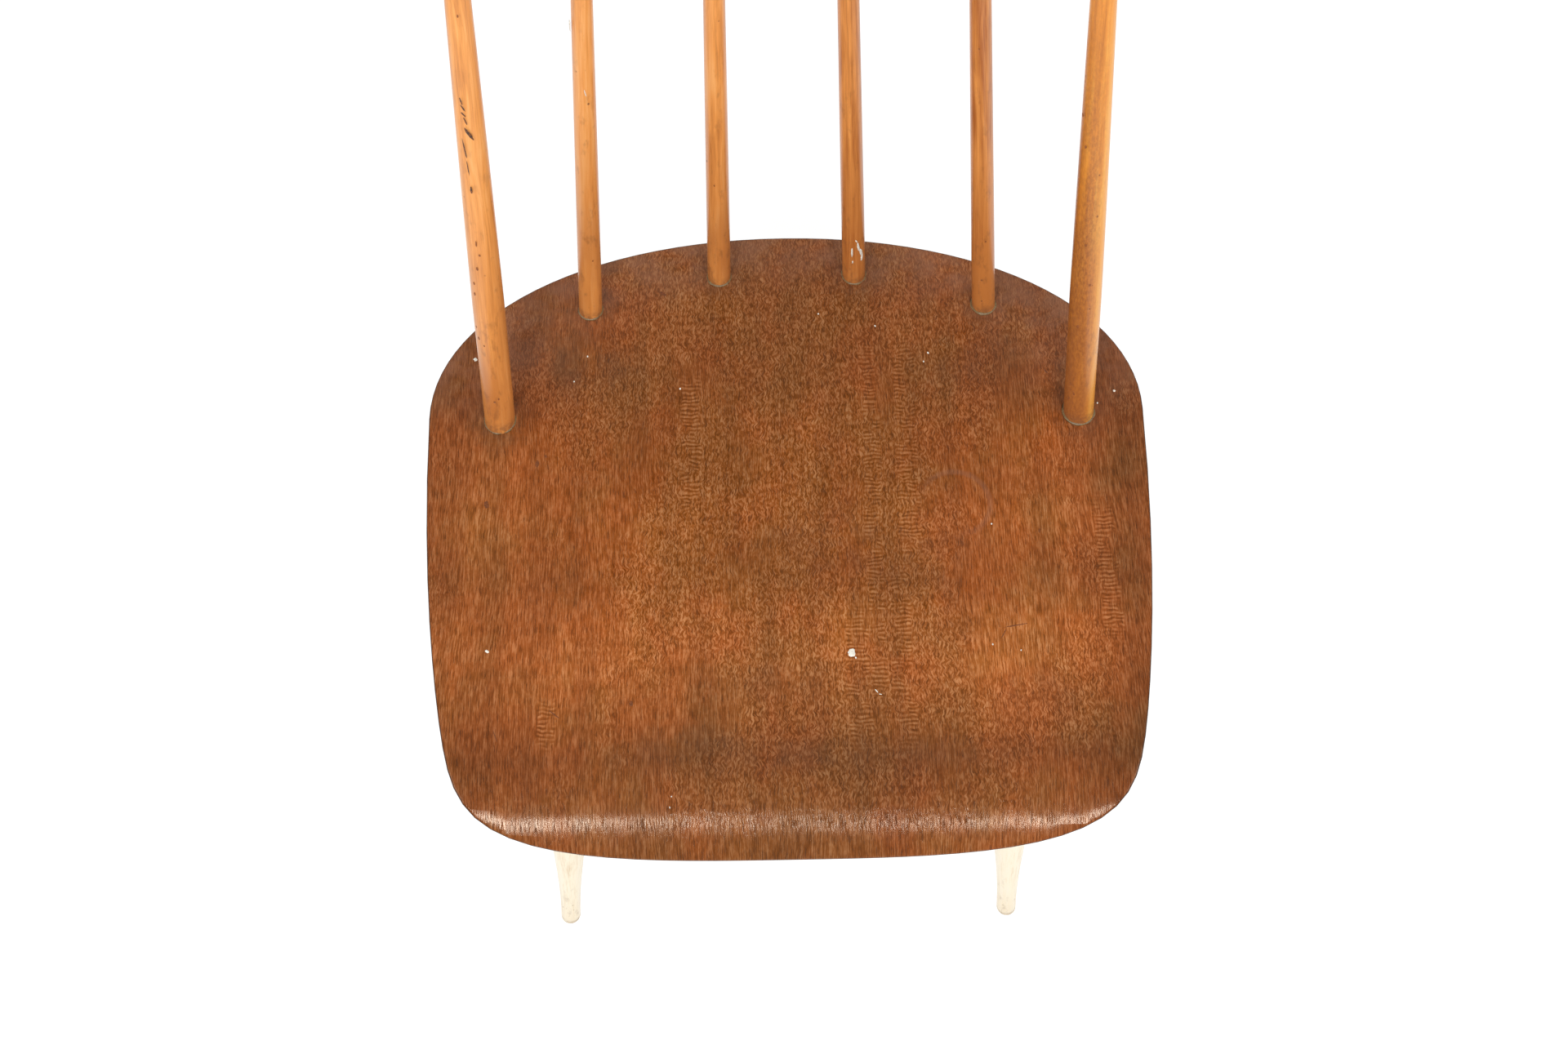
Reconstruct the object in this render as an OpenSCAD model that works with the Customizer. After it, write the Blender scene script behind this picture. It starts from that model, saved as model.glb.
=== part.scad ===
// Spindle-back side chair: a moulded plywood seat on four turned legs, with six
// turned sticks carrying a bent crest rail.
// Millimetres. +Z is up, the sitter faces -Y, and the origin is on the floor under
// the middle of the chair. "Set" is the distance forward from the seat's rear edge.

/* [Seat] */
// Width of the seat at its widest
seat_w = 435.6; // [400:0.2:470]
// Depth of the seat from its rear edge to its front edge
seat_d = 399.6; // [390:0.2:408]
// Set of the seat's widest line
seat_wide_set = 123; // [115:0.5:145]
// Share of the width that the sides lose towards the front
seat_narrowing = 0.157; // [0:0.001:0.2]
// Roundness of the outline behind the widest line, where 2 is an ellipse
rear_roundness = 2.05; // [2:0.01:2.4]
// Thickness of the moulded plywood
seat_t = 10; // [8:0.5:12]
// Height of the seat's rear edge above the floor
seat_h = 444; // [420:1:460]
// Depth of the seat's shallow dip
seat_dip = 8; // [0:0.5:12]
// Radius of the roll along the front edge
roll_r = 68; // [62:1:80]
// Set at which the front roll starts
roll_set = 352; // [348:1:360]

/* [Back] */
// Distance from the middle to each outer post at the seat
post_x = 176.2; // [170:0.2:180]
// Set of the outer posts
post_set = 125; // [118:0.5:134]
// Distance from the middle to each outer stick at the seat
outer_stick_x = 122.4; // [115:0.2:130]
// Set of the outer sticks
outer_stick_set = 50.5; // [46:0.5:60]
// Distance from the middle to each inner stick at the seat
inner_stick_x = 42.3; // [36:0.1:50]
// Set of the inner sticks
inner_stick_set = 28; // [26:0.5:36]
// How far all six sockets in the seat sit off the middle line
socket_offset = 1.8; // [-3:0.1:3]
// Spacing of the six sockets along the crest rail
crest_pitch = 62.5; // [55:0.5:66]
// Radius of a post at its thick lower end
post_r = 9.15; // [8:0.05:10]
// Radius of a stick at the seat
stick_r = 7.2; // [6:0.05:8]
// Radius of each post's upper tenon
post_tenon_r = 5.5; // [5:0.1:6]
// Radius of each stick's upper tenon
stick_tenon_r = 5; // [4.5:0.1:5.5]

/* [Crest rail] */
// Width of the rail from end to end
crest_w = 372; // [352:2:400]
// Height of the rail at its middle
crest_h = 76; // [60:1:90]
// Thickness of the rail
crest_t = 21; // [18:0.5:24]
// Height of the rail's lower edge above the floor
crest_z = 803; // [780:1:820]
// Radius of the rail's bend, seen from above
crest_bend_r = 420; // [360:5:600]
// Set of the rail's middle, which is negative because it lies behind the seat
crest_set = -25; // [-40:1:-10]
// How far the old back has racked over to one side at the crest rail
crest_offset = -4; // [-8:0.5:8]
// Backward tilt of the rail in degrees
crest_tilt = 11; // [6:0.5:14]

/* [Legs] */
// Distance from the middle to each front foot
front_foot_x = 167; // [160:1:185]
// Set of the front feet
front_foot_set = 317.5; // [305:0.5:335]
// Distance from the middle to each rear foot
rear_foot_x = 172; // [160:1:185]
// Set of the rear feet
rear_foot_set = 2; // [-10:1:20]
// Distance from the middle to the top of each leg
leg_top_x = 135; // [125:1:140]
// Set of the front legs' tops
front_top_set = 270; // [264:1:280]
// Set of the rear legs' tops
rear_top_set = 106; // [98:1:110]
// Radius of a foot
foot_r = 7.2; // [6.5:0.1:9]
// Greatest radius of a leg
leg_r = 15.5; // [13:0.1:17]
// Radius of a leg where it meets the block above it
leg_top_r = 12.8; // [12:0.1:14]
// Height of the stretchers above the floor
stretcher_z = 205; // [180:1:230]
// Greatest radius of a stretcher
stretcher_r = 9.8; // [9:0.1:11]

/* [Blocks under the seat] */
// Height of the blocks' flat lower faces
block_z = 405; // [402:1:408]
// Distance from the seat's edge to the back block's edge
block_inset = 16; // [12:1:20]
// Set of the back block's straight front edge
block_set = 160; // [155:1:170]
// Length of the front bearer
bearer_l = 326; // [310:2:340]
// Width of the front bearer
bearer_w = 54; // [48:1:60]
// Radius of a screw's shank
screw_r = 1.75; // [1.5:0.05:2]

/* [Hidden] */
$fn = 64;
OUTLINE_STEPS = 26;    // points along each quarter of an outline
PROFILE_STEPS = 12;    // points along each stretch of the seat's side profile
TURNING_STEPS = 12;    // points along a turned profile
FRONT_FULLNESS = 19.5; // how straight the front edge is
FRONT_ROUNDNESS = 3.22; // how far the sides hold their width before the front corners
FRONT_CROWDING = 4;    // how strongly the outline's steps close up towards the front edge
ROLL_OVERRUN = 1;      // degrees that the roll's profile runs on past the outline's front edge
SOCKET_DEPTH = 17;     // how far a post, stick or leg goes into its block
CREST_SOCKET = 27;     // how far a post or stick goes into the crest rail
CREST_EDGE_R = 7;      // radius of the crest rail's long edges
CREST_END_ROOM = 1.5;  // how far the outline that rounds the rail's ends stands off its long edges
CREST_CROSSING = 14;   // height above the rail's lower edge where each axis meets its middle
CREST_FULLNESS = 9;    // how straight the rail's long edges are
CREST_ROUNDNESS = 2.4; // how far the rail holds its height before its round ends
CREST_SWEEP = 70;      // degrees of the ring that the rail is cut from
TAPER_ROOM = 6;        // how far below the rail a post or stick has thinned to its tenon
POST_STRAIGHT = 0.24;  // share of a post's length below its taper
POST_TAPER = 1.2;      // exponents of the tapers and of a stretcher's swelling
STICK_TAPER = 1.15;
STRETCHER_SWELL = 0.8;
LEG_PEAK = 0.62;       // share of a leg's length at which it is thickest
LEG_TENON_R = 10;
LEG_PLAIN = 10;        // length of the straight stretch at each end of a leg
STRETCHER_PLAIN = 5;   // length of the straight stretch at each end of a stretcher
STRETCHER_TENON_R = 6;
CROSS_TENON_R = 5.5;
STRETCHER_SOCKET = 11; // how far past a leg's surface a stretcher's tenon goes
CROSS_SOCKET = 6;      // how far past a side stretcher's surface the cross stretcher goes
SCREW_HEAD_R = 3.6;
SCREW_HEAD_H = 2.3;
SCREW_BITE = 6;        // how far a screw's point goes into the plywood
SLOT_W = 0.9;
SLOT_DEPTH = 1;
SLOT_TURN = 37;        // degrees from each screw's slot to the next one's
BEARER_CORNER_R = 18;
OVERCUT = 12;          // how far a hole's cut starts outside the face that it enters
BIG = 700;             // larger than the chair in every horizontal direction

SEAT_COLOUR = "#7c4524";
STICK_COLOUR = "#cf8a45";
LEG_COLOUR = "#e9cf9f";
BLOCK_COLOUR = "#c79a62";
SCREW_COLOUR = "#a8a294";

roll_angle = asin((seat_d - roll_set) / roll_r);
// Length of the rail's tilted section, and how far its rear edge lies behind its middle.
crest_section_h = 2 * CREST_EDGE_R
    + (crest_h - 2 * CREST_EDGE_R - (crest_t - 2 * CREST_EDGE_R) * sin(crest_tilt)) / cos(crest_tilt);
crest_reach = CREST_EDGE_R + (crest_section_h / 2 - CREST_EDGE_R) * sin(crest_tilt)
    + (crest_t / 2 - CREST_EDGE_R) * cos(crest_tilt);
// The y of the seat's rear edge: the front edge and the rail's rear are equally far from the origin.
rear_y = (seat_d + crest_set - crest_reach) / 2;

// Each screw's x and set. The bearer's own middle line has the set of the front legs' tops.
SCREW_PLACES_FRONT = [for (x = [-118, -46, 46, 118]) [x, front_top_set]];
SCREW_PLACES_REAR = [[0, 70], [-84, 118], [84, 118], [-172, 88], [172, 88]];

// ---------- Places ----------

// A y in the model for a set from the seat's rear edge.
function y_of(set) = rear_y - set;

// Height of the seat's upper surface at a set, and of its lower surface.
function seat_top(set) = set <= roll_set
    ? seat_h - seat_dip * pow(sin(180 * set / roll_set), 2)
    : seat_h - roll_r * (1 - cos(asin(min(set - roll_set, roll_r) / roll_r)));

// Foot of a post or stick on the seat's upper surface, and its crossing in the crest rail.
function base_point(x, set) = [x + socket_offset, y_of(set), seat_top(set)];
function crest_point(x) = [x + crest_offset,
    y_of(crest_set) - (crest_bend_r - sqrt(pow(crest_bend_r, 2) - x * x))
        - (crest_h / 2 - CREST_CROSSING) * tan(crest_tilt),
    crest_z + CREST_CROSSING];

// Both ends of the axis of each part of the back, and of each leg.
function post_axis(side) = [base_point(side * post_x, post_set), crest_point(side * crest_pitch * 2.5)];
function outer_axis(side) =
    [base_point(side * outer_stick_x, outer_stick_set), crest_point(side * crest_pitch * 1.5)];
function inner_axis(side) =
    [base_point(side * inner_stick_x, inner_stick_set), crest_point(side * crest_pitch * 0.5)];
function front_leg_axis(side) =
    [[side * front_foot_x, y_of(front_foot_set), 0], [side * leg_top_x, y_of(front_top_set), block_z]];
function rear_leg_axis(side) =
    [[side * rear_foot_x, y_of(rear_foot_set), 0], [side * leg_top_x, y_of(rear_top_set), block_z]];

// The point of an axis at a height.
function at_height(axis, z) =
    axis[0] + (axis[1] - axis[0]) * (z - axis[0].z) / (axis[1].z - axis[0].z);
function side_stretcher_axis(side) =
    [at_height(front_leg_axis(side), stretcher_z), at_height(rear_leg_axis(side), stretcher_z)];
function middle(axis) = (axis[0] + axis[1]) / 2;

// ---------- Outlines ----------

// The seat's rear outline, from the right side round to the left, drawn in by an inset.
function rear_outline(inset) = [for (i = [0 : 2 * OUTLINE_STEPS])
    let (t = 90 * i / OUTLINE_STEPS, power = 2 / rear_roundness)
    [(seat_w / 2 - inset) * sign(cos(t)) * pow(abs(cos(t)), power),
     y_of(seat_wide_set) + (seat_wide_set - inset) * pow(abs(sin(t)), power)]];

// Half the seat's width at a share of the way from its widest line to its front edge.
function front_half_width(share) = seat_w / 2 * (1 - seat_narrowing * share * share)
    * pow(1 - pow(share, FRONT_FULLNESS), 1 / FRONT_ROUNDNESS);

// The seat's front outline on one side.
function front_outline(side) = [for (i = [1 : OUTLINE_STEPS])
    let (share = 1 - pow(1 - i / OUTLINE_STEPS, FRONT_CROWDING))
    [side * front_half_width(share), y_of(seat_wide_set) - share * (seat_d - seat_wide_set)]];

function reversed(points) = [for (i = [len(points) - 1 : -1 : 0]) points[i]];
function seat_outline() = concat(rear_outline(0), front_outline(-1),
    [for (i = [1 : OUTLINE_STEPS - 1]) reversed(front_outline(1))[i]]);

// A rectangle centred on the origin with round corners.
function rounded_rect(w, h, r) = [for (corner = [0 : 3], i = [0 : 6])
    let (a = 90 * corner + 15 * i,
         cx = (corner == 0 || corner == 3 ? 1 : -1) * (w / 2 - r),
         cy = (corner < 2 ? 1 : -1) * (h / 2 - r))
    [cx + r * cos(a), cy + r * sin(a)]];

// The seat's side profile at a depth below its upper surface, as [y, z] points.
function dip_slope(set) = -seat_dip * 180 / roll_set * PI / 180 * sin(360 * set / roll_set);
function dip_profile(depth) = [for (i = [0 : 2 * PROFILE_STEPS])
    let (set = roll_set * i / (2 * PROFILE_STEPS), lean = atan(dip_slope(set)))
    [y_of(set) + depth * sin(lean), seat_top(set) - depth * cos(lean)]];
function roll_profile(depth) = [for (i = [1 : PROFILE_STEPS])
    let (a = (roll_angle + ROLL_OVERRUN) * i / PROFILE_STEPS)
    [y_of(roll_set) - (roll_r - depth) * sin(a), seat_h - roll_r + (roll_r - depth) * cos(a)]];
// The first point is carried back past the outline, so that the outline alone cuts the rear edge.
function profile(depth) =
    concat([[y_of(-BIG / 10), seat_h - depth]], dip_profile(depth), roll_profile(depth));

// The crest rail seen from the front: half its height at a distance from the middle.
function crest_half_height(x) =
    (crest_h / 2 + CREST_END_ROOM)
        * pow(1 - pow(abs(x) / (crest_w / 2), CREST_FULLNESS), 1 / CREST_ROUNDNESS);
function crest_outline() = let (n = 2 * OUTLINE_STEPS, mid = crest_z + crest_h / 2)
    concat([for (i = [0 : n]) let (x = crest_w / 2 * sin(90 * (2 * i / n - 1)))
                [x, mid - crest_half_height(x)]],
           [for (i = [1 : n - 1]) let (x = crest_w / 2 * sin(90 * (1 - 2 * i / n)))
                [x, mid + crest_half_height(x)]]);

// ---------- Turned profiles: the radius at a share of the length ----------

function leg_radius(share) = share < LEG_PEAK
    ? foot_r + (leg_r - foot_r) * pow(sin(90 * share / LEG_PEAK), 2)
    : leg_r - (leg_r - leg_top_r) * pow(sin(90 * (share - LEG_PEAK) / (1 - LEG_PEAK)), 2);
function post_radius(share) = share < POST_STRAIGHT
    ? post_r
    : post_r - (post_r - post_tenon_r)
        * pow((share - POST_STRAIGHT) / (1 - POST_STRAIGHT), POST_TAPER);
function stick_radius(share) = stick_r - (stick_r - stick_tenon_r) * pow(share, STICK_TAPER);
function stretcher_radius(share, end_r) =
    end_r + (stretcher_r - end_r) * pow(sin(180 * share), STRETCHER_SWELL);

// ---------- Tools ----------

// Draws its child, which lies along +Z, along an axis instead. The quarter turn about its own
// axis keeps the seam of a round child off the steepest line of the lean, where level cuts end.
module along(axis) {
    v = axis[1] - axis[0];
    translate(axis[0])
        rotate([0, acos(v.z / norm(v)), atan2(v.y, v.x)])
            rotate(90)
                children();
}

// A turned solid from a list of [radius, height] points.
module turned(points) {
    rotate_extrude()
        polygon(concat([[0, points[0].y]], points, [[0, points[len(points) - 1].y]]));
}

// Extrudes a [y, z] outline right across the chair.
module across(outline) {
    translate([-BIG / 2, 0, 0])
        rotate([90, 0, 90])
            linear_extrude(BIG)
                polygon(outline);
}

// Everything between the blocks' lower faces and the underside of the seat.
module under_seat() {
    across(concat(profile(seat_t), [[y_of(seat_d), block_z], [y_of(-BIG / 10), block_z]]));
}

// ---------- Parts of the back ----------

// A post or stick: a plain lower end in its block, a taper, and a plain tenon in the crest rail.
module back_stick(axis, low_r, tenon_r, is_post) {
    length = norm(axis[1] - axis[0]);
    low = -seat_t - SOCKET_DEPTH;
    taper_end = length - CREST_CROSSING - TAPER_ROOM;
    body = [for (i = [0 : TURNING_STEPS]) let (share = i / TURNING_STEPS)
        [is_post ? post_radius(share) : stick_radius(share), share * taper_end]];
    along(axis)
        turned(concat([[low_r, low]], body, [[tenon_r, length + CREST_SOCKET - CREST_CROSSING]]));
}

// The hole that a post or stick needs at its lower end and in the crest rail.
module stick_hole(axis, low_r, tenon_r) {
    length = norm(axis[1] - axis[0]);
    along(axis) {
        translate([0, 0, -seat_t - SOCKET_DEPTH])
            cylinder(r = low_r, h = seat_t + SOCKET_DEPTH + OVERCUT);
        translate([0, 0, length - CREST_CROSSING - OVERCUT])
            cylinder(r = tenon_r, h = CREST_SOCKET + OVERCUT);
    }
}

module all_stick_holes() {
    for (side = [-1, 1]) {
        stick_hole(post_axis(side), post_r, post_tenon_r);
        stick_hole(outer_axis(side), stick_r, stick_tenon_r);
        stick_hole(inner_axis(side), stick_r, stick_tenon_r);
    }
}

module post(side) {
    color(STICK_COLOUR)
        back_stick(post_axis(side), post_r, post_tenon_r, true);
}

module outer_stick(side) {
    color(STICK_COLOUR)
        back_stick(outer_axis(side), stick_r, stick_tenon_r, false);
}

module inner_stick(side) {
    color(STICK_COLOUR)
        back_stick(inner_axis(side), stick_r, stick_tenon_r, false);
}

module crest_rail() {
    color(SEAT_COLOUR)
        difference() {
            intersection() {
                translate([crest_offset, y_of(crest_set) - crest_bend_r, crest_z + crest_h / 2])
                    rotate([0, 0, 90 - CREST_SWEEP / 2])
                        rotate_extrude(angle = CREST_SWEEP)
                            translate([crest_bend_r, 0])
                                rotate(-crest_tilt)
                                    polygon(rounded_rect(crest_t, crest_section_h, CREST_EDGE_R));
                translate([crest_offset, BIG / 2, 0])
                    rotate([90, 0, 0])
                        linear_extrude(BIG)
                            polygon(crest_outline());
            }
            all_stick_holes();
        }
}

// ---------- Seat and the blocks under it ----------

module seat() {
    color(SEAT_COLOUR)
        difference() {
            intersection() {
                linear_extrude(seat_h + BIG / 10)
                    polygon(seat_outline());
                across(concat(profile(0), reversed(profile(seat_t))));
            }
            all_stick_holes();
            all_screw_holes();
        }
}

module back_block() {
    inset_half = seat_w / 2 - block_inset;
    color(BLOCK_COLOUR)
        difference() {
            intersection() {
                linear_extrude(seat_h)
                    polygon(concat(rear_outline(block_inset),
                        [[-inset_half, y_of(block_set)], [inset_half, y_of(block_set)]]));
                under_seat();
            }
            all_stick_holes();
            for (side = [-1, 1])
                leg_socket(rear_leg_axis(side));
            all_screw_holes();
        }
}

module front_bearer() {
    color(BLOCK_COLOUR)
        difference() {
            intersection() {
                translate([0, y_of(front_top_set), 0])
                    linear_extrude(seat_h)
                        polygon(rounded_rect(bearer_l, bearer_w, BEARER_CORNER_R));
                under_seat();
            }
            for (side = [-1, 1])
                leg_socket(front_leg_axis(side));
            all_screw_holes();
        }
}

// ---------- Legs and stretchers ----------

module leg_socket(axis) {
    along(axis)
        translate([0, 0, norm(axis[1] - axis[0]) - OVERCUT])
            cylinder(r = LEG_TENON_R, h = SOCKET_DEPTH + OVERCUT);
}

// A leg, cut level at the floor and at the block, with a tenon above.
module leg(axis, side) {
    length = norm(axis[1] - axis[0]);
    color(LEG_COLOUR)
        difference() {
            union() {
                intersection() {
                    along(axis)
                        turned(concat([[foot_r, -LEG_PLAIN]],
                            [for (i = [0 : 2 * TURNING_STEPS]) let (share = i / (2 * TURNING_STEPS))
                                [leg_radius(share), LEG_PLAIN + share * (length - 2 * LEG_PLAIN)]],
                            [[leg_top_r, length + LEG_PLAIN]]));
                    translate([-BIG / 2, -BIG / 2, 0])
                        cube([BIG, BIG, block_z]);
                }
                along(axis)
                    translate([0, 0, length - OVERCUT])
                        cylinder(r = LEG_TENON_R, h = SOCKET_DEPTH + OVERCUT);
            }
            stretcher_holes(side);
        }
}

// Distance from each end of a side stretcher's axis to the leg's surface.
leg_surface = leg_radius(stretcher_z / block_z);

module stretcher_holes(side) {
    axis = side_stretcher_axis(side);
    length = norm(axis[1] - axis[0]);
    along(axis)
        translate([0, 0, leg_surface - STRETCHER_SOCKET])
            cylinder(r = STRETCHER_TENON_R, h = length - 2 * (leg_surface - STRETCHER_SOCKET));
}

// A stretcher between two surfaces, each a distance inside the ends of its axis.
module stretcher_body(axis, surface, socket, end_r) {
    length = norm(axis[1] - axis[0]);
    start = surface + STRETCHER_PLAIN;
    finish = length - surface - STRETCHER_PLAIN;
    body = [for (i = [0 : 2 * TURNING_STEPS]) let (share = i / (2 * TURNING_STEPS))
        [stretcher_radius(share, end_r), start + share * (finish - start)]];
    along(axis)
        turned(concat([[end_r, surface - socket]], body, [[end_r, length - surface + socket]]));
}

function cross_axis() = [middle(side_stretcher_axis(-1)), middle(side_stretcher_axis(1))];

module side_stretcher(side) {
    cross = cross_axis();
    length = norm(cross[1] - cross[0]);
    color(LEG_COLOUR)
        difference() {
            stretcher_body(side_stretcher_axis(side), leg_surface, STRETCHER_SOCKET, STRETCHER_TENON_R);
            along(cross)
                translate([0, 0, stretcher_r - CROSS_SOCKET])
                    cylinder(r = CROSS_TENON_R, h = length - 2 * (stretcher_r - CROSS_SOCKET));
        }
}

module cross_stretcher() {
    color(LEG_COLOUR)
        stretcher_body(cross_axis(), stretcher_r, CROSS_SOCKET, CROSS_TENON_R);
}

// ---------- Screws ----------

// Length of a screw at a set, from the blocks' lower faces into the plywood.
function screw_length(set) = seat_top(set) - seat_t + SCREW_BITE - block_z;

module screw_blank(place) {
    length = screw_length(place.y);
    translate([place.x, y_of(place.y), block_z])
        rotate_extrude()
            polygon([[0, 0], [SCREW_HEAD_R, 0], [screw_r, SCREW_HEAD_H], [screw_r, length], [0, length]]);
}

module all_screw_holes() {
    for (place = concat(SCREW_PLACES_FRONT, SCREW_PLACES_REAR))
        screw_blank(place);
}

module screws(places) {
    color(SCREW_COLOUR)
        for (i = [0 : len(places) - 1])
            difference() {
                screw_blank(places[i]);
                translate([places[i].x, y_of(places[i].y), block_z])
                    rotate(SLOT_TURN * i)
                        cube([3 * SCREW_HEAD_R, SLOT_W, 2 * SLOT_DEPTH], center = true);
            }
}

seat();
post(-1);  // post_left
post(1);  // post_right
outer_stick(-1);  // stick_outer_left
inner_stick(-1);  // stick_inner_left
inner_stick(1);  // stick_inner_right
outer_stick(1);  // stick_outer_right
crest_rail();
back_block();
front_bearer();
leg(front_leg_axis(-1), -1);  // leg_front_left
leg(front_leg_axis(1), 1);  // leg_front_right
leg(rear_leg_axis(-1), -1);  // leg_rear_left
leg(rear_leg_axis(1), 1);  // leg_rear_right
side_stretcher(-1);  // stretcher_left
side_stretcher(1);  // stretcher_right
cross_stretcher();  // stretcher_cross
screws(SCREW_PLACES_REAR);  // back_block_screws
screws(SCREW_PLACES_FRONT);  // front_bearer_screws
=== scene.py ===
"""Looks for the spindle-back side chair: wood, lacquer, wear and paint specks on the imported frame.

Lengths are in millimetres while a piece is made, and in metres once it is a Blender mesh.
+Z is up and the sitter faces -Y. "Set" is the distance forward from the seat's rear edge.
"""

import math

import bmesh
import bpy
import numpy as np
from mathutils import Matrix, Vector
from mathutils.noise import noise as lump


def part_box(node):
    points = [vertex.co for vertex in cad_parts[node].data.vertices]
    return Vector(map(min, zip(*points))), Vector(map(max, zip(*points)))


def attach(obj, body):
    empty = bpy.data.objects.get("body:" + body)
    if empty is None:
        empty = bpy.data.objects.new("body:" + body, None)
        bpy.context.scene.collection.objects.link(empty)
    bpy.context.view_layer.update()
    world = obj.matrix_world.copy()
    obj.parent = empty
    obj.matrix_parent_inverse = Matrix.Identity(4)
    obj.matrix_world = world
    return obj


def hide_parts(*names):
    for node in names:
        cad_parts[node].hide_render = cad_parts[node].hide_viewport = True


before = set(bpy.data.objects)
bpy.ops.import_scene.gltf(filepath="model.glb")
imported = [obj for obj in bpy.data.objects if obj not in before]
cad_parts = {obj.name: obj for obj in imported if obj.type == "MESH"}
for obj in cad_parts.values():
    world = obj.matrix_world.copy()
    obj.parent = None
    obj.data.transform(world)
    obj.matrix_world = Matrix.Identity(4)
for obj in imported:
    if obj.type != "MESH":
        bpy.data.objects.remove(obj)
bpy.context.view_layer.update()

bl_info = {
    "name": "Spindle-back chair looks",
    "version": (1, 0, 0),
    "blender": (4, 5, 0),
    "location": "3D View > Sidebar > Chair",
    "description": "Makes the chair's wooden pieces, their wear and the stage",
    "category": "Object",
}

MM = 0.001
SIDES = ("left", "right")

# The CAD shapes that the pieces repeat.
SEAT_WIDE_SET = 123
SEAT_NARROWING = 0.157
REAR_ROUNDNESS = 2.05
FRONT_FULLNESS = 19.5
FRONT_ROUNDNESS = 3.22
FRONT_CROWDING = 4
OUTLINE_STEPS = 26
ROLL_SET = 352
SOCKET_DEPTH = 17
CREST_SOCKET = 27
CREST_CROSSING = 14
TENON_RISE = CREST_SOCKET - CREST_CROSSING
CREST_FULLNESS = 9
CREST_ROUNDNESS = 2.4
TAPER_ROOM = 6
POST_STRAIGHT = 0.24
LEG_PEAK = 0.62
LEG_PLAIN = 10
SCREW_HEAD_R = 3.6
SCREW_HEAD_H = 2.3
SCREW_R = 1.75
FRONT_TOP_SET = 270
SCREWS_FRONT = [(x, FRONT_TOP_SET) for x in (-118, -46, 46, 118)]
SCREWS_REAR = [(0, 70), (-84, 118), (84, 118), (-172, 88), (172, 88)]
BLANK_H = 40
SIDE_SOCKET, SIDE_END_R = 11, 6
CROSS_SOCKET, CROSS_END_R = 6, 5.5
PLAIN_END = 5
PLIES = 7

STICKS = ("post_left", "stick_outer_left", "stick_inner_left",
          "stick_inner_right", "stick_outer_right", "post_right")
# How much wider than its stick a worn socket is.
WORN_SOCKETS = {"stick_outer_right": 1.0, "post_right": 1.1}
# How much greater a bored hole's radius is than what goes in it.
SEAT_PLAY = 0.05
WOOD_PLAY = 0.03

# How finely the outlines and profiles are drawn.
STICK_STEPS = 40
LEG_STEPS = 48
STRETCHER_STEPS = 32
CORNER_STEPS = 8
# Edges that turn more than this stay crisp.
SHARP_TURN = math.radians(35)

# Turned pieces take their grain from places this far apart, so that no two are alike.
# The posts and sticks have the places from 0 and the legs and stretchers those from 10.
GRAIN_APART = 60
FIRST_LEG_PLACE = 10
# Stretchers take theirs this much higher, clear of the wear at the lower end of a leg.
STRETCHER_GRAIN_Z = 400


def millimetres(corner):
    return Vector(corner) / MM


SEAT_LOW, SEAT_HIGH = (millimetres(c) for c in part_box("seat"))
RAIL_LOW, RAIL_HIGH = (millimetres(c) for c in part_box("crest_rail"))
BACK_LOW, BACK_HIGH = (millimetres(c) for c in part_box("back_block"))
BEARER_LOW, BEARER_HIGH = (millimetres(c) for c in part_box("front_bearer"))
SEAT_HALF_W = (SEAT_HIGH.x - SEAT_LOW.x) / 2
SEAT_D = SEAT_HIGH.y - SEAT_LOW.y
REAR_Y = SEAT_HIGH.y
BLOCK_Z = BACK_LOW.z


def linear(code):
    """A colour as shaders take it, from its sRGB hex code."""
    parts = [int(code[i:i + 2], 16) / 255 for i in (0, 2, 4)]
    return [p / 12.92 if p <= 0.04045 else ((p + 0.055) / 1.055) ** 2.4 for p in parts]


# ---------- What a user may change ----------

def length_prop(name, description, default):
    """A size in metres, from a default in millimetres."""
    return bpy.props.FloatProperty(name=name, description=description, default=default * MM,
                                   min=0.0, unit="LENGTH", precision=4)


def colour_prop(name, description, code):
    return bpy.props.FloatVectorProperty(name=name, description=description, default=linear(code),
                                         subtype="COLOR", size=3, min=0.0, max=1.0)


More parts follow.
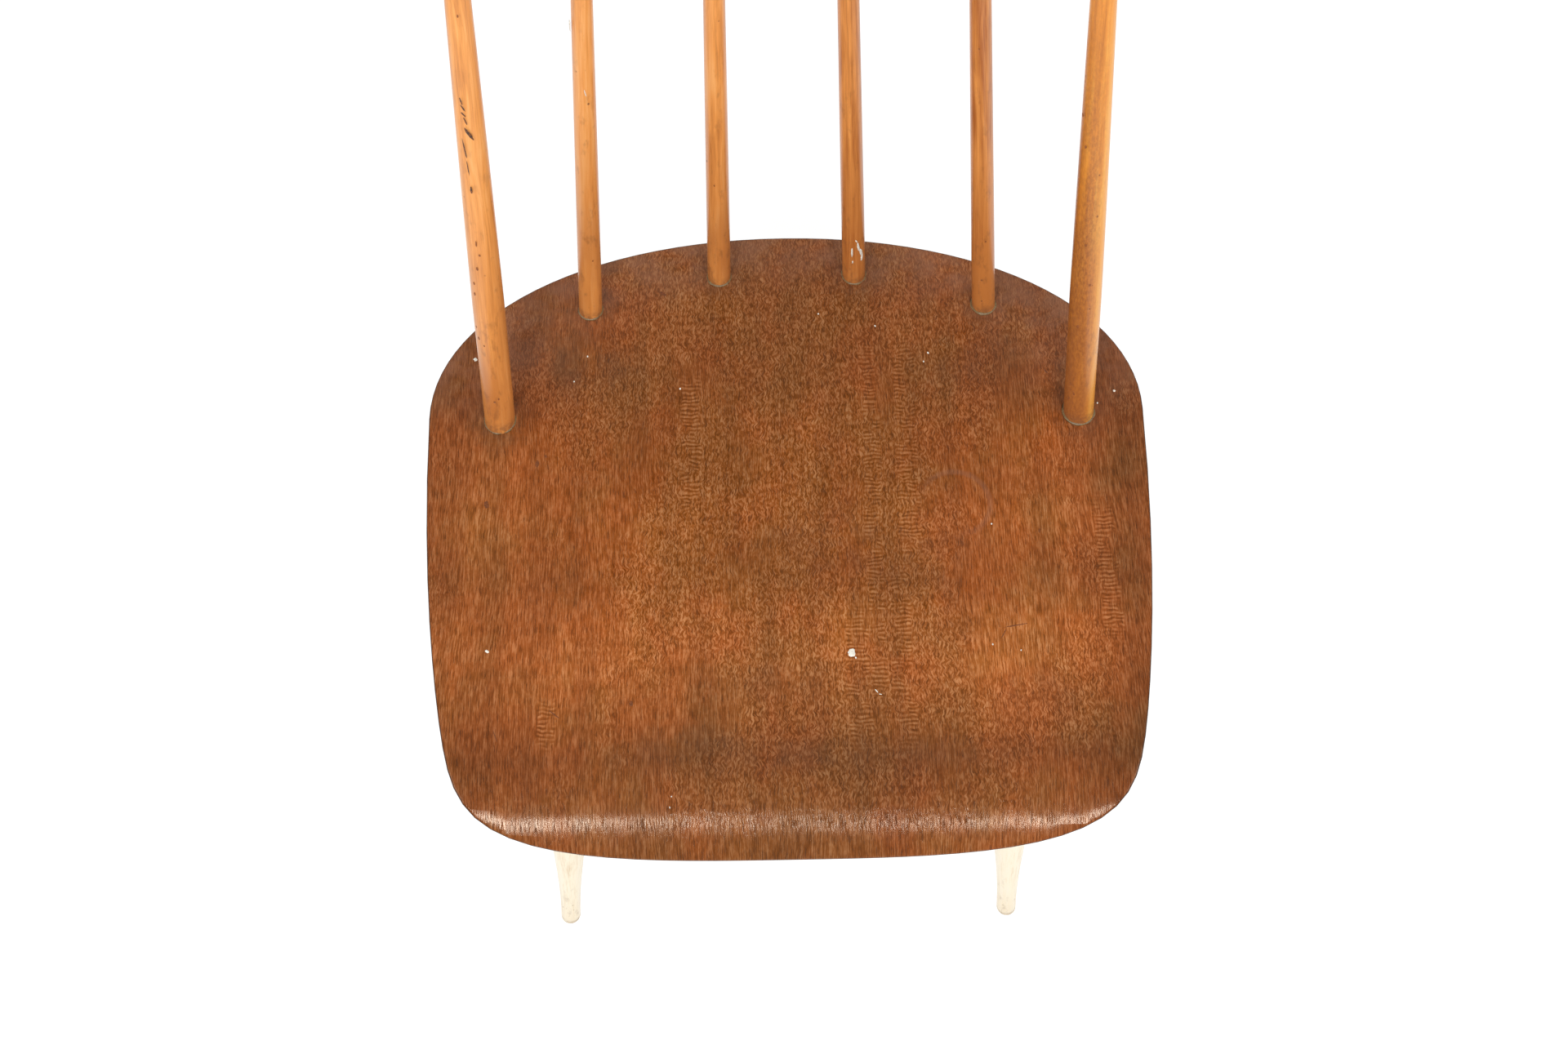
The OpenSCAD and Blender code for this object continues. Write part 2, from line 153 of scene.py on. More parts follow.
class ChairSizes(bpy.types.PropertyGroup):
    """Sizes of the chair's pieces that its outline doesn't give."""
    seat_t: length_prop("Seat thickness", "Thickness of the moulded plywood", 10)
    seat_dip: length_prop("Seat dip", "Depth of the seat's shallow dip", 8)
    roll_r: length_prop("Roll radius", "Radius of the roll along the front edge", 68)
    seat_edge: length_prop("Seat edge", "Rounding of the seat's rim", 1.5)
    post_r: length_prop("Post radius", "Radius of an outer post at the seat", 9.15)
    post_tenon_r: length_prop("Post tenon", "Radius of a post's upper tenon", 5.5)
    stick_r: length_prop("Stick radius", "Radius of a stick at the seat", 7.2)
    stick_tenon_r: length_prop("Stick tenon", "Radius of a stick's upper tenon", 5)
    crest_t: length_prop("Rail thickness", "Thickness of the crest rail", 21)
    crest_edge_r: length_prop("Rail edge", "Radius of the crest rail's long edges", 7)
    crest_bend_r: length_prop("Rail bend", "Radius of the crest rail's bend", 420)
    crest_tilt: bpy.props.FloatProperty(
        name="Rail tilt", description="Backward tilt of the crest rail",
        default=math.radians(11), subtype="ANGLE")
    foot_r: length_prop("Foot radius", "Radius of a leg at the floor", 7.2)
    leg_r: length_prop("Leg radius", "Greatest radius of a leg", 15.5)
    leg_top_r: length_prop("Leg top radius", "Radius of a leg at its block", 12.8)
    stretcher_r: length_prop("Stretcher radius", "Greatest radius of a stretcher", 9.8)
    block_inset: length_prop("Block inset", "Distance from the seat's edge to the back block", 16)
    block_edge: length_prop("Block edge", "Rounding of the blocks' lower edges", 2)
    bearer_corner: length_prop("Bearer corner", "Corner radius of the front bearer", 18)
    bead_w: length_prop("Glue bead", "Width of the old glue around each foot", 0.9)


class ChairColours(bpy.types.PropertyGroup):
    """Colours of the chair's woods, dirt and paint, and of the painted sheen on the seat."""
    veneer_dark: colour_prop("Veneer pores", "Dark pores and figure of the seat's veneer", "6c3404")
    veneer_mid: colour_prop("Veneer", "Middle tone of the seat's veneer", "955021")
    veneer_light: colour_prop("Veneer flecks", "Light flecks of the seat's veneer", "b8784d")
    veneer_grime: colour_prop("Seat grime", "Grime rubbed into the seat", "5b3b28")
    # Seat haze: worn lacquer in the ring; by the rear rim, partly worn lacquer and partly painted
    # sheen.
    veneer_haze_and_sheen: colour_prop("Seat haze", "Worn, hazy lacquer by the rim and in the ring", "875c46")
    ply: colour_prop("Plies", "Bare plies at the seat's edge and its underside", "a9794c")
    stick_dark: colour_prop("Stick grain", "Dark grain of the posts and sticks", "a85f28")
    stick_mid: colour_prop("Stick", "Middle tone of the posts and sticks", "ea9c50")
    stick_light: colour_prop("Stick light", "Light grain of the posts and sticks", "fcc27e")
    rail: colour_prop("Rail", "Middle tone of the crest rail", "7f4826")
    leg_mid: colour_prop("Leg", "Middle tone of the legs and stretchers", "fdf0d2")
    leg_dark: colour_prop("Leg grain", "Dark grain of the legs and stretchers", "dcb884")
    block: colour_prop("Block", "Middle tone of the blocks under the seat", "c79a66")
    steel: colour_prop("Screw steel", "Dull zinc of the screws", "a8a49a")
    paint: colour_prop("Paint", "White paint specks and drips", "f1eee2")
    glue: colour_prop("Old glue", "Glue squeezed out around each foot", "7d6540")
    ink: colour_prop("Ink", "Faded dark marks on the left post", "33281f")


# ---------- Places ----------

def y_of(set_):
    return REAR_Y - set_


def seat_top(set_, sizes):
    """Height of the seat's upper surface at a set behind its roll."""
    return SEAT_HIGH.z - sizes.seat_dip / MM * math.sin(math.pi * set_ / ROLL_SET) ** 2


def dip_slope(set_, sizes):
    return -sizes.seat_dip / MM * math.pi / ROLL_SET * math.sin(2 * math.pi * set_ / ROLL_SET)


def seat_underside(set_, sizes):
    return seat_top(set_, sizes) - sizes.seat_t / MM * math.hypot(1, dip_slope(set_, sizes))


def pressed(co, sizes):
    """Where a point of the flat sheet, (x, -distance along it, -depth), goes in the press."""
    along, depth = -co.y, -co.z
    if along <= ROLL_SET:
        lean = math.atan(dip_slope(along, sizes))
        return Vector((co.x, y_of(along) + depth * math.sin(lean),
                       seat_top(along, sizes) - depth * math.cos(lean)))
    roll = sizes.roll_r / MM
    turn = (along - ROLL_SET) / roll
    return Vector((co.x, y_of(ROLL_SET) - (roll - depth) * math.sin(turn),
                   SEAT_HIGH.z - roll + (roll - depth) * math.cos(turn)))


def axis_of(node):
    """Both ends of the axis of a turned CAD node, the lower or forward one first."""
    cloud = np.array(sorted({tuple(round(c / MM, 2) for c in v.co)
                             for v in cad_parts[node].data.vertices}))
    centre = cloud.mean(0)
    line = np.linalg.svd(cloud - centre, full_matrices=False)[2][0]
    line = line * np.sign(line[np.abs(line).argmax()])
    reach = (cloud - centre) @ line
    low = cloud[cloud[:, 2] < 0.05] if node.startswith("leg") else cloud[reach < reach.min() + 0.3]
    high = cloud[reach > reach.max() - 0.3]
    return Vector(low.mean(0)), Vector(high.mean(0))


def stick_radii(node, sizes):
    """The radii of a post or stick at the seat and at its upper tenon."""
    if node.startswith("post"):
        return sizes.post_r / MM, sizes.post_tenon_r / MM
    return sizes.stick_r / MM, sizes.stick_tenon_r / MM


def stick_line(node, sizes):
    """A stick's foot on the seat, its direction, and its length from there to mid rail."""
    low, high = axis_of(node)
    direction = (high - low).normalized()
    foot = low + direction * (sizes.seat_t / MM + SOCKET_DEPTH)
    return foot, direction, (high - foot).length - TENON_RISE


def stick_lines(sizes):
    return {node: stick_line(node, sizes) for node in STICKS}


def shares(steps):
    """Even steps from 0 to 1."""
    return [i / steps for i in range(steps + 1)]


def rear_outline(half_w, depth, wide_y):
    """The rear half of the seat's outline, or of a block set in from it, from right to left."""
    power = 2 / REAR_ROUNDNESS
    turns = [math.pi / 2 * i / OUTLINE_STEPS for i in range(2 * OUTLINE_STEPS + 1)]
    return [(half_w * math.copysign(abs(math.cos(t)) ** power, math.cos(t)),
             wide_y + depth * abs(math.sin(t)) ** power) for t in turns]


def front_outline(side):
    """One side of the seat's front outline, from its widest line to its front edge."""
    points = []
    for i in range(1, OUTLINE_STEPS + 1):
        share = 1 - (1 - i / OUTLINE_STEPS) ** FRONT_CROWDING
        half = SEAT_HALF_W * (1 - SEAT_NARROWING * share * share) \
            * (1 - share ** FRONT_FULLNESS) ** (1 / FRONT_ROUNDNESS)
        points.append((side * half, y_of(SEAT_WIDE_SET) - share * (SEAT_D - SEAT_WIDE_SET)))
    return points


def along_sheet(set_, sizes):
    """Distance along the flat sheet to a set on the finished seat."""
    roll = sizes.roll_r / MM
    return set_ if set_ <= ROLL_SET else ROLL_SET + roll * math.asin((set_ - ROLL_SET) / roll)


# ---------- Shaping ----------

def in_scene(name, data):
    """A new object in the scene."""
    thing = bpy.data.objects.new(name, data)
    bpy.context.scene.collection.objects.link(thing)
    return thing


def turned(profile, steps=48):
    """A closed turned solid along +Z. Its (radius, height) points start and end on the axis."""
    bm = bmesh.new()
    points = [bm.verts.new((radius, 0, height)) for radius, height in profile]
    edges = [bm.edges.new(pair) for pair in zip(points, points[1:])]
    bmesh.ops.spin(bm, geom=points + edges, cent=(0, 0, 0), axis=(0, 0, 1),
                   angle=2 * math.pi, steps=steps, use_merge=True)
    bmesh.ops.remove_doubles(bm, verts=bm.verts, dist=0.001)
    bmesh.ops.recalc_face_normals(bm, faces=bm.faces)
    return bm


def drill(radius, low, high):
    """A plain round cutter along +Z."""
    return turned([(0, low), (radius, low), (radius, high), (0, high)])


def placement(start, direction):
    """The matrix that lays +Z along a direction from a start."""
    return Matrix.Translation(start) @ direction.to_track_quat("Z", "Y").to_matrix().to_4x4()


def board(outline, height):
    """A straight-sided solid with an outline of (x, y) points, from z 0 down by its height."""
    bm = bmesh.new()
    face = bm.faces.new([bm.verts.new((x, y, 0)) for x, y in outline])
    made = bmesh.ops.extrude_face_region(bm, geom=[face], use_keep_orig=True)
    moved = [v for v in made["geom"] if isinstance(v, bmesh.types.BMVert)]
    bmesh.ops.translate(bm, verts=moved, vec=(0, 0, -height))
    bmesh.ops.recalc_face_normals(bm, faces=bm.faces)
    return bm


def level_edges(bm, heights):
    """The edges that lie at one of some heights."""
    return [e for e in bm.edges
            if any(all(abs(v.co.z - h) < 0.001 for v in e.verts) for h in heights)]


def rounded(bm, edges, radius, segments):
    bmesh.ops.bevel(bm, geom=edges, offset=radius, offset_type="OFFSET", segments=segments,
                    profile=0.5, affect="EDGES", material=-1, clamp_overlap=False)


def sliced(bm, normal, places):
    """Cuts lines across a mesh, so that it can bend there."""
    for place in places:
        bmesh.ops.bisect_plane(bm, geom=bm.verts[:] + bm.edges[:] + bm.faces[:], dist=0.001,
                               plane_co=Vector(normal) * place, plane_no=normal)


def cut_off(bm, height, keep_above):
    """Cuts a solid level at a height, keeps one side and closes the cut."""
    cut = bmesh.ops.bisect_plane(bm, geom=bm.verts[:] + bm.edges[:] + bm.faces[:], dist=0.001,
                                 plane_co=(0, 0, height), plane_no=(0, 0, 1),
                                 clear_inner=keep_above, clear_outer=not keep_above)
    rim = [e for e in cut["geom_cut"] if isinstance(e, bmesh.types.BMEdge)]
    return bmesh.ops.contextual_create(bm, geom=rim)["faces"]


def joined(parts):
    """One bmesh with all of some others in it."""
    whole = bmesh.new()
    for part in parts:
        mesh = bpy.data.meshes.new("part")
        part.to_mesh(mesh)
        part.free()
        whole.from_mesh(mesh)
        bpy.data.meshes.remove(mesh)
    return whole


def bored(blank, cutters):
    """The blank with every cutter's solid taken out of it."""
    objects = []
    for bm in (blank, joined(cutters)):
        mesh = bpy.data.meshes.new("bore")
        bm.to_mesh(mesh)
        bm.free()
        objects.append(in_scene("bore", mesh))
    bore = objects[0].modifiers.new("bore", "BOOLEAN")
    bore.operation, bore.solver, bore.object = "DIFFERENCE", "EXACT", objects[1]
    result = bmesh.new()
    result.from_object(objects[0], bpy.context.evaluated_depsgraph_get())
    for obj in objects:
        bpy.data.meshes.remove(obj.data)
    bmesh.ops.remove_doubles(result, verts=result.verts, dist=0.002)
    bmesh.ops.dissolve_degenerate(result, edges=result.edges, dist=0.002)
    return result


def with_coordinates(bm, layer, place):
    """Stores each vertex's place in the wood, in millimetres, for the materials to read."""
    values = bm.verts.layers.float_vector.new(layer)
    for v in bm.verts:
        v[values] = place(v.co)
    return bm


def finished(name, bm, material, node=None):
    """Turns a bmesh in millimetres into a piece that rides on the chair, in place of a node."""
    bmesh.ops.scale(bm, vec=(MM, MM, MM), verts=bm.verts)
    mesh = bpy.data.meshes.new(name)
    bm.to_mesh(mesh)
    bm.free()
    mesh.shade_smooth()
    mesh.set_sharp_from_angle(angle=SHARP_TURN)
    mesh.materials.append(material)
    piece = in_scene(name, mesh)
    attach(piece, "root")
    if node:
        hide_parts(node)


# ---------- Materials ----------

class Nodes:
    """A node tree whose nodes are added and wired a line at a time."""

    def __init__(self, tree):
        self.tree = tree

    def node(self, kind, plugs=None, **settings):
        made = self.tree.nodes.new("ShaderNode" + kind)
        for key, value in settings.items():
            setattr(made, key, value)
        for key, value in (plugs or {}).items():
            self.plug(made.inputs[key], value)
        return made

    def plug(self, socket, value):
        if isinstance(value, bpy.types.NodeSocket):
            self.tree.links.new(value, socket)
        elif socket.type == "RGBA":
            socket.default_value = (*value[:3], 1)
        else:
            socket.default_value = value

    def math(self, operation, first, second=0.0, third=0.0):
        return self.node("Math", {0: first, 1: second, 2: third}, operation=operation).outputs[0]

    def vector(self, operation, first, second):
        return self.node("VectorMath", {0: first, 1: second}, operation=operation).outputs[0]

    def vector_scaled(self, vector, scale):
        return self.node("VectorMath", {0: vector, "Scale": scale}, operation="SCALE").outputs[0]

    def length(self, vector):
        return self.node("VectorMath", {0: vector}, operation="LENGTH").outputs["Value"]

    def over_all(self, operation, values):
        """One operation on the first two values, then on the result and the next, and so on."""
        total = values[0]
        for value in values[1:]:
            total = self.math(operation, total, value)
        return total

    def add(self, *values):
        return self.over_all("ADD", values)

    def times(self, *values):
        return self.over_all("MULTIPLY", values)

    def most(self, *values):
        return self.over_all("MAXIMUM", values)


class Finish(Nodes):
    """A material's nodes. Patterns are sized in millimetres."""

    def __init__(self, name, layer):
        self.material = bpy.data.materials.new(name)
        self.material.use_nodes = True
        super().__init__(self.material.node_tree)
        self.shader = self.tree.nodes["Principled BSDF"]
        if layer:
            self.at = self.node("Attribute", attribute_name=layer).outputs["Vector"]
        else:
            place = self.node("TexCoord").outputs["Object"]
            self.at = self.vector("MULTIPLY", place, (1 / MM,) * 3)
        self.x, self.y, self.z = self.node("SeparateXYZ", {0: self.at}).outputs

    def fade(self, value, start, end):
        """0 at the start and beyond, 1 at the end and beyond, and smooth between them."""
        return self.node("MapRange", {0: value, 1: start, 2: end},
                         interpolation_type="SMOOTHSTEP").outputs[0]

    def scaled(self, size, at=None):
        return self.vector("MULTIPLY", at or self.at, [1 / s for s in size])

    def noise(self, size, detail=2.0, rough=0.5, at=None):
        """Noise around 0 whose lumps have a size in x, y and z."""
        made = self.node("TexNoise", {"Vector": self.scaled(size, at), "Scale": 1.0,
                                      "Detail": detail, "Roughness": rough})
        return self.math("SUBTRACT", made.outputs[0], 0.5)

    def moved(self, at, size, reach, amount=1.0):
        """A point of the pattern, pushed about by noise of a size, by a reach in x, y and z."""
        push = self.node("TexNoise", {"Vector": self.scaled(size, at), "Scale": 1.0, "Detail": 1.0})
        push = self.vector("MULTIPLY", self.vector("SUBTRACT", push.outputs[1], (0.5,) * 3), reach)
        return self.vector("ADD", at, self.vector_scaled(push, amount))

    def spots(self, size, radius, share):
        """Small soft round spots in a share of the cells of a size."""
        cells = self.node("TexVoronoi", {"Vector": self.scaled(size), "Scale": 1.0})
        pick = self.node("SeparateColor", {0: cells.outputs["Color"]}).outputs[0]
        return self.times(self.fade(cells.outputs["Distance"], radius, radius * 0.4),
                          self.fade(pick, 1 - share, 1 - share + 0.05))

    def distance(self, at, place, stretch=(1, 1)):
        """Distance in x and y of a point of the pattern from a place, measured in stretches."""
        off = self.vector("SUBTRACT", at, (*place, 0))
        return self.length(self.vector("MULTIPLY", off, (1 / stretch[0], 1 / stretch[1], 0)))

    def ramp(self, value, stops):
        made = self.node("ValToRGB", {0: value})
        steps = made.color_ramp.elements
        while len(steps) < len(stops):
            steps.new(0.5)
        for step, (place, colour) in zip(steps, stops):
            step.position = place
            step.color = (*colour[:3], 1)
        return made.outputs[0]

    def mix(self, amount, base, other, blend="MIX"):
        return self.node("Mix", {0: amount, 6: base, 7: other}, data_type="RGBA",
                         blend_type=blend).outputs[2]

    def surface(self, colour, roughness, height, depth, **constants):
        """Wires the shader. A height of 1 stands a depth in millimetres; the rest is constant."""
        self.plug(self.shader.inputs["Base Color"], colour)
        self.plug(self.shader.inputs["Roughness"], roughness)
        bump = self.node("Bump", {"Strength": 1.0, "Distance": depth * MM, "Height": height})
        self.plug(self.shader.inputs["Normal"], bump.outputs[0])
        for key, value in constants.items():
            self.shader.inputs[key.replace("_", " ")].default_value = value
        return self.material


def blended(first, second, share):
    """A colour between two, by the share of the second."""
    return [a + (b - a) * share for a, b in zip(first, second)]


# Columns of cross ticks in the veneer: x, half width, and the start and end along the sheet.
LADDERS = ((-59, 6, 85, 205), (37, 7, 245, 352), (72, 7, 60, 230), (64, 6, 215, 350),
           (50, 5, 70, 330), (186, 6, 175, 290), (-140, 5, 300, 350))
# The distance from one cross tick to the next.
TICK_APART = 2.7
# The middle of the faint ring mark.
RING_PLACE = (99, 186)
# Rubbed-in grime on the seat: place, stretch across and along, and strength.
SMUDGES = (((30, 215), (75, 40), 0.5), ((88, 228), (42, 55), 0.55), ((-128, 243), (30, 24), 0.35),
           ((-52, 338), (46, 16), 0.6), ((138, 311), (34, 22), 0.35), ((-10, 300), (55, 18), 0.25),
           ((-125, 82), (52, 34), 0.85), ((118, 90), (52, 30), 0.6), ((20, 345), (190, 14), 0.45))
# How light the veneer is along the sheet, at shares of this length from its rear edge: partly its
# own tone, partly painted sheen and shade.
SHADES_D = 410
VENEER_SHADES = ((0, 0.85), (0.1, 0.7), (0.24, 0.64), (0.33, 0.74), (0.41, 0.77), (0.48, 0.92),
                 (0.57, 0.81), (0.64, 0.97), (0.7, 1.0), (0.78, 0.79), (0.84, 0.57), (0.9, 0.6),
                 (0.95, 0.64))
# The warm, soft shine of old lacquer on dark wood.
LACQUER = {"Specular_IOR_Level": 0.42, "Specular_Tint": (1, 0.85, 0.68, 1)}


def cross_ticks(f, flat, wander):
    """Where the veneer's columns of cross ticks are, and the ticks that fill them."""
    bars = f.add(f.y, f.times(f.noise((7, 9, 9), 1.0, 0.5, flat), 4))
    bars = f.math("SINE", f.times(bars, 2 * math.pi / TICK_APART))
    ticks = f.times(f.math("SUBTRACT", f.fade(bars, -0.5, 0.5), 0.5),
                    f.add(1, f.times(f.noise((5, TICK_APART, 9), 1.0, 0.5, flat), 2.4)))
    across = f.node("SeparateXYZ", {0: wander}).outputs[0]
    ladder = 0.0
    for place, half, start, end in LADDERS:
        off = f.math("ABSOLUTE", f.add(across, -place))
        column = f.times(f.fade(off, half + 1, half - 1), f.fade(f.y, start, start + 25),
                         f.fade(f.y, end, end - 25))
        ladder = f.most(ladder, column)
    return f.times(ladder, f.fade(f.noise((9, 16, 9), 2.0, 0.6, flat), -0.06, 0.04)), ticks


def seat_grime(f, flat, feet):
    """How much grime is rubbed into the seat, in smudges and around the feet of the sticks."""
    grime = 0.0
    for place, stretch, strength in SMUDGES:
        smudge = f.fade(f.distance(flat, place, stretch), 1.15, 0.2)
        grime = f.most(grime, f.times(smudge, strength))
    grime = f.times(grime, f.fade(f.noise((16, 22, 9), 3.0, 0.6, flat), -0.22, 0.2))
    halo = 0.0
    for foot, radius in feet:
        halo = f.most(halo, f.fade(f.distance(flat, foot, (1, 1.15)), radius + 16, radius - 1))
    halo = f.times(halo, f.fade(f.noise((7, 9, 9), 2.0, 0.6, flat), -0.3, 0.16))
    return f.most(grime, f.times(halo, 0.75))


def bare_edge(f, colours, thickness):
    """The plies that show along the seat's edge, darkest just under the veneer, where the dark face
    veneer is darkened further to a painted shade line along the rim.
    """
    plies = f.fade(f.math("SINE", f.times(f.z, PLIES * math.pi / thickness)), -0.35, 0.35)
    layers = f.mix(plies, blended(colours.veneer_dark, colours.ply, 0.3),
                   blended(colours.veneer_mid, colours.ply, 0.6))
    layers = f.mix(f.fade(f.noise((30, 30, 0.5), 3.0), -0.15, 0.2), layers, colours.veneer_dark)
    # Nearly black just under the veneer: a painted shade line along the rim, over the dark face
    # veneer.
    layers = f.mix(f.fade(f.z, 2.2, 1.2), layers, blended(colours.veneer_dark, (0, 0, 0), 0.7))
    return layers


def veneer_finish(colours, sizes, feet):
    """Red-brown veneer with curly flecks, cross ticks, pores, grime and worn lacquer, with painted
    sheen and painted shade along the seat and by its rim.
    """
    f = Finish("lacquered_veneer", "sheet")
    flat = f.vector("MULTIPLY", f.at, (1, 1, 0))
    aside = f.math("ABSOLUTE", f.x)
    curl = f.add(f.noise((50, 70, 9), at=flat), f.times(f.fade(f.y, 170, 60), 0.12),
                 f.math("MULTIPLY_ADD", f.math("ABSOLUTE", f.add(f.x, -15)), -0.0014, 0.13))
    curl = f.fade(curl, -0.1, 0.1)
    curl = f.times(curl, f.fade(f.y, 400, 360))
    wander = f.moved(flat, (45, 90, 9), (7, 0, 0))
    curly = f.moved(wander, (8, 4.6, 9), (4.2, 1.2, 0), f.math("MULTIPLY_ADD", curl, 0.88, 0.12))
    lines = f.math("SUBTRACT", f.fade(f.noise((0.75, 13, 9), 2.0, 0.6, curly), -0.1, 0.1), 0.5)
    dash = f.math("SUBTRACT", f.fade(f.noise((1.0, 3.0, 9), 1.0, 0.5, curly), -0.07, 0.07), 0.5)
    fine = f.add(f.times(lines, f.math("MULTIPLY_ADD", curl, -0.1, 0.32)),
                 f.times(dash, f.math("MULTIPLY_ADD", curl, 0.3, 0.08)))
    weave = f.noise((3.2, 9, 9), 2.0, 0.5, curly)
    streak = f.noise((1.9, 75, 9), 3.0, 0.6, wander)
    pores = f.fade(f.noise((0.5, 9, 9), 1.0, 0.5, curly), 0.1, 0.17)

    ladder, ticks = cross_ticks(f, flat, wander)
    tone = f.add(0.5, fine, f.times(weave, 0.6), f.times(streak, 0.5), f.times(pores, -0.36),
                 f.times(ladder, f.add(f.times(ticks, 0.36), f.times(fine, -0.7), 0.02)))
    colour = f.ramp(tone, [(0.1, colours.veneer_dark), (0.5, colours.veneer_mid),
                           (0.9, colours.veneer_light)])

    # The lightness along the sheet is partly painted sheen and shade, darkest as painted shade just
    # before and on the front roll.
    shade = f.ramp(f.times(f.y, 1 / SHADES_D),
                   [(place, (level,) * 3) for place, level in VENEER_SHADES])
    # The last term darkens the left of the seat as painted shade, against the left softbox's light;
    # the other terms vary the veneer's tone.
    band = f.add(f.times(f.noise((13, 190, 9), 2.0, 0.5, wander), 0.7),
                 f.noise((75, 95, 9), 3.0, 0.55, flat),
                 f.times(f.fade(aside, 120, 30), -0.09), f.times(f.fade(aside, 175, 205), -0.15),
                 f.times(f.fade(f.x, 160, 190), -0.13), f.times(f.fade(f.x, -50, -150), -0.05))
    shade = f.times(f.node("SeparateColor", {0: shade}).outputs[0], f.add(1.2, band))
    colour = f.vector_scaled(colour, shade)
    tint = f.add(f.noise((42, 60, 9), 3.0, 0.6, f.moved(flat, (30, 30, 9), (12, 12, 0))),
                 f.times(f.fade(aside, 150, 20), 0.12), -0.05)
    tint = f.mix(f.fade(tint, -0.16, 0.16), (1.02, 0.94, 0.84), (0.93, 1.05, 1.02))
    colour = f.mix(1.0, colour, tint, "MULTIPLY")

    colour = f.mix(seat_grime(f, flat, feet), colour, f.mix(0.35, colours.veneer_grime, colour))

    rim = f.distance(flat, (0, SEAT_WIDE_SET), (SEAT_HALF_W, SEAT_WIDE_SET))
    # By the rear rim the haze is partly worn, hazy lacquer and partly painted sheen.
    rear = f.times(f.fade(rim, 0.62, 0.97), f.fade(f.y, 135, 80))
    haze = f.times(rear, f.fade(f.noise((26, 20, 9), 3.0, 0.6, flat), -0.24, 0.16), 0.66)
    colour = f.mix(haze, colour, colours.veneer_haze_and_sheen)

    ring = f.distance(flat, RING_PLACE)
    ring = f.times(f.fade(ring, 18.5, 20.5), f.fade(ring, 24, 21.5),
                   f.fade(f.add(f.x, f.times(f.y, -0.8)), -72, -40))
    colour = f.mix(f.times(ring, 0.32), colour, colours.veneer_haze_and_sheen)

    # The edge colour reaches onto the top bevel, so the painted shade line shows along the rim.
    edge = f.fade(f.z, 0.08, 0.5)
    thickness = sizes.seat_t / MM
    below = f.fade(f.z, thickness - 0.7, thickness - 0.2)
    bare = f.add(f.times(lines, 0.3), f.times(streak, 1.6), f.noise((22, 150, 9), 2.0, 0.5, wander))
    bare = f.mix(f.fade(bare, -0.3, 0.3), blended(colours.ply, colours.veneer_mid, 0.6),
                 blended(colours.ply, colours.stick_light, 0.25))
    colour = f.mix(edge, colour, bare_edge(f, colours, thickness))
    colour = f.mix(below, colour, bare)

    rough = f.add(0.17, f.times(pores, 0.6), f.times(weave, 0.15), f.times(haze, 0.2),
                  f.times(edge, 0.3))
    height = f.add(f.times(pores, -0.9), f.times(streak, 0.45), f.times(lines, 0.25))
    return f.surface(colour, rough, height, 0.12, **LACQUER)


def on_places(f, first, last):
    """1 on the turned pieces from a first grain place to a last, and 0 on the others."""
    low, high = GRAIN_APART * (first - 0.5), GRAIN_APART * (last + 0.5)
    return f.times(f.fade(f.x, low, low + 2), f.fade(f.x, high, high - 2))


def turned_finish(name, dark, mid, light, worn, dirt, wear_height, amount):
    """Lacquered turned birch: streaks, dents, and dirt and darker wood towards its lower end.

    The right post is yellower than the rest, with a painted bright side, painted shade mixed with
    mottled grime on the other side, and the two sticks beside it are darker.
    """
    f = Finish(name, "grain")
    wood = f.moved(f.at, (9, 9, 70), (4, 4, 0))
    streak = f.noise((2.2, 2.2, 75), 3.0, 0.6, wood)
    fine = f.noise((0.6, 0.6, 22), 2.0, 0.6, wood)
    broad = f.noise((13, 13, 60), 2.0)
    post = STICKS.index("post_right")
    on_post = on_places(f, post, post)
    off_axis = f.add(f.x, -GRAIN_APART * post)
    # Painted shade down one side of the right post, mixed with mottled grime and strongest low down.
    mottle = f.add(f.times(f.fade(f.noise((1.3, 1.3, 3), 3.0, 0.65), -0.25, 0.25), 0.5), 0.5)
    grime_and_shade = f.times(on_post, f.fade(off_axis, -8, 4), f.fade(f.z, 400, 120), mottle,
                    f.fade(f.noise((9, 9, 45), 2.0), -0.4, 0.0))
    # A painted bright side on the right post, as if a lamp lit that side.
    painted_bright_side = f.times(on_post, f.fade(off_axis, 2, -5))
    tone = f.add(0.52, f.times(streak, 0.6), f.times(fine, 0.3), f.times(broad, 0.5),
                 f.times(on_places(f, post - 2, post - 1), -0.17), f.times(painted_bright_side, 0.15))
    colour = f.ramp(tone, [(0.2, dark), (0.52, mid), (0.85, light)])
    colour = f.mix(on_post, colour, (1.0, 0.89, 0.4), "MULTIPLY")
    # The lower end darkens less on the right post's painted bright side.
    low = f.times(f.fade(f.z, wear_height, 5), f.math("MULTIPLY_ADD", painted_bright_side, -0.75, 1))
    colour = f.mix(f.times(low, amount, f.fade(broad, -0.35, 0.2)), colour, worn)
    blotch = f.times(f.fade(f.noise((6, 6, 16), 3.0, 0.65), 0.04, 0.22),
                     f.fade(f.z, wear_height * 2, 0), 0.45)
    colour = f.mix(blotch, colour, dirt)
    # Mixes in the right post's painted shade and grime.
    colour = f.mix(f.times(grime_and_shade, 0.95), colour, blended(dirt, dark, 0.42))
    flecks = f.fade(f.noise((0.5, 0.5, 2.6), 1.0), 0.2, 0.3)
    colour = f.mix(f.times(flecks, 0.28), colour, dark)
    dents = f.times(f.spots((7, 7, 9), 0.13, 0.3), f.fade(f.z, wear_height * 1.6, wear_height))
    foot = f.times(f.fade(f.z, 7, 0.5), f.fade(f.noise((3, 3, 3), 3.0), -0.25, 0.15))
    colour = f.mix(f.most(f.times(dents, 0.8), f.times(foot, 0.6)), colour, dirt)
    rough = f.add(0.34, f.times(broad, 0.25), f.times(dents, 0.3), f.times(foot, 0.2))
    height = f.add(f.times(streak, 0.5), f.times(fine, 0.25), f.times(dents, -1.5))
    return f.surface(colour, rough, height, 0.1, Coat_Weight=0.2, Coat_Roughness=0.2)


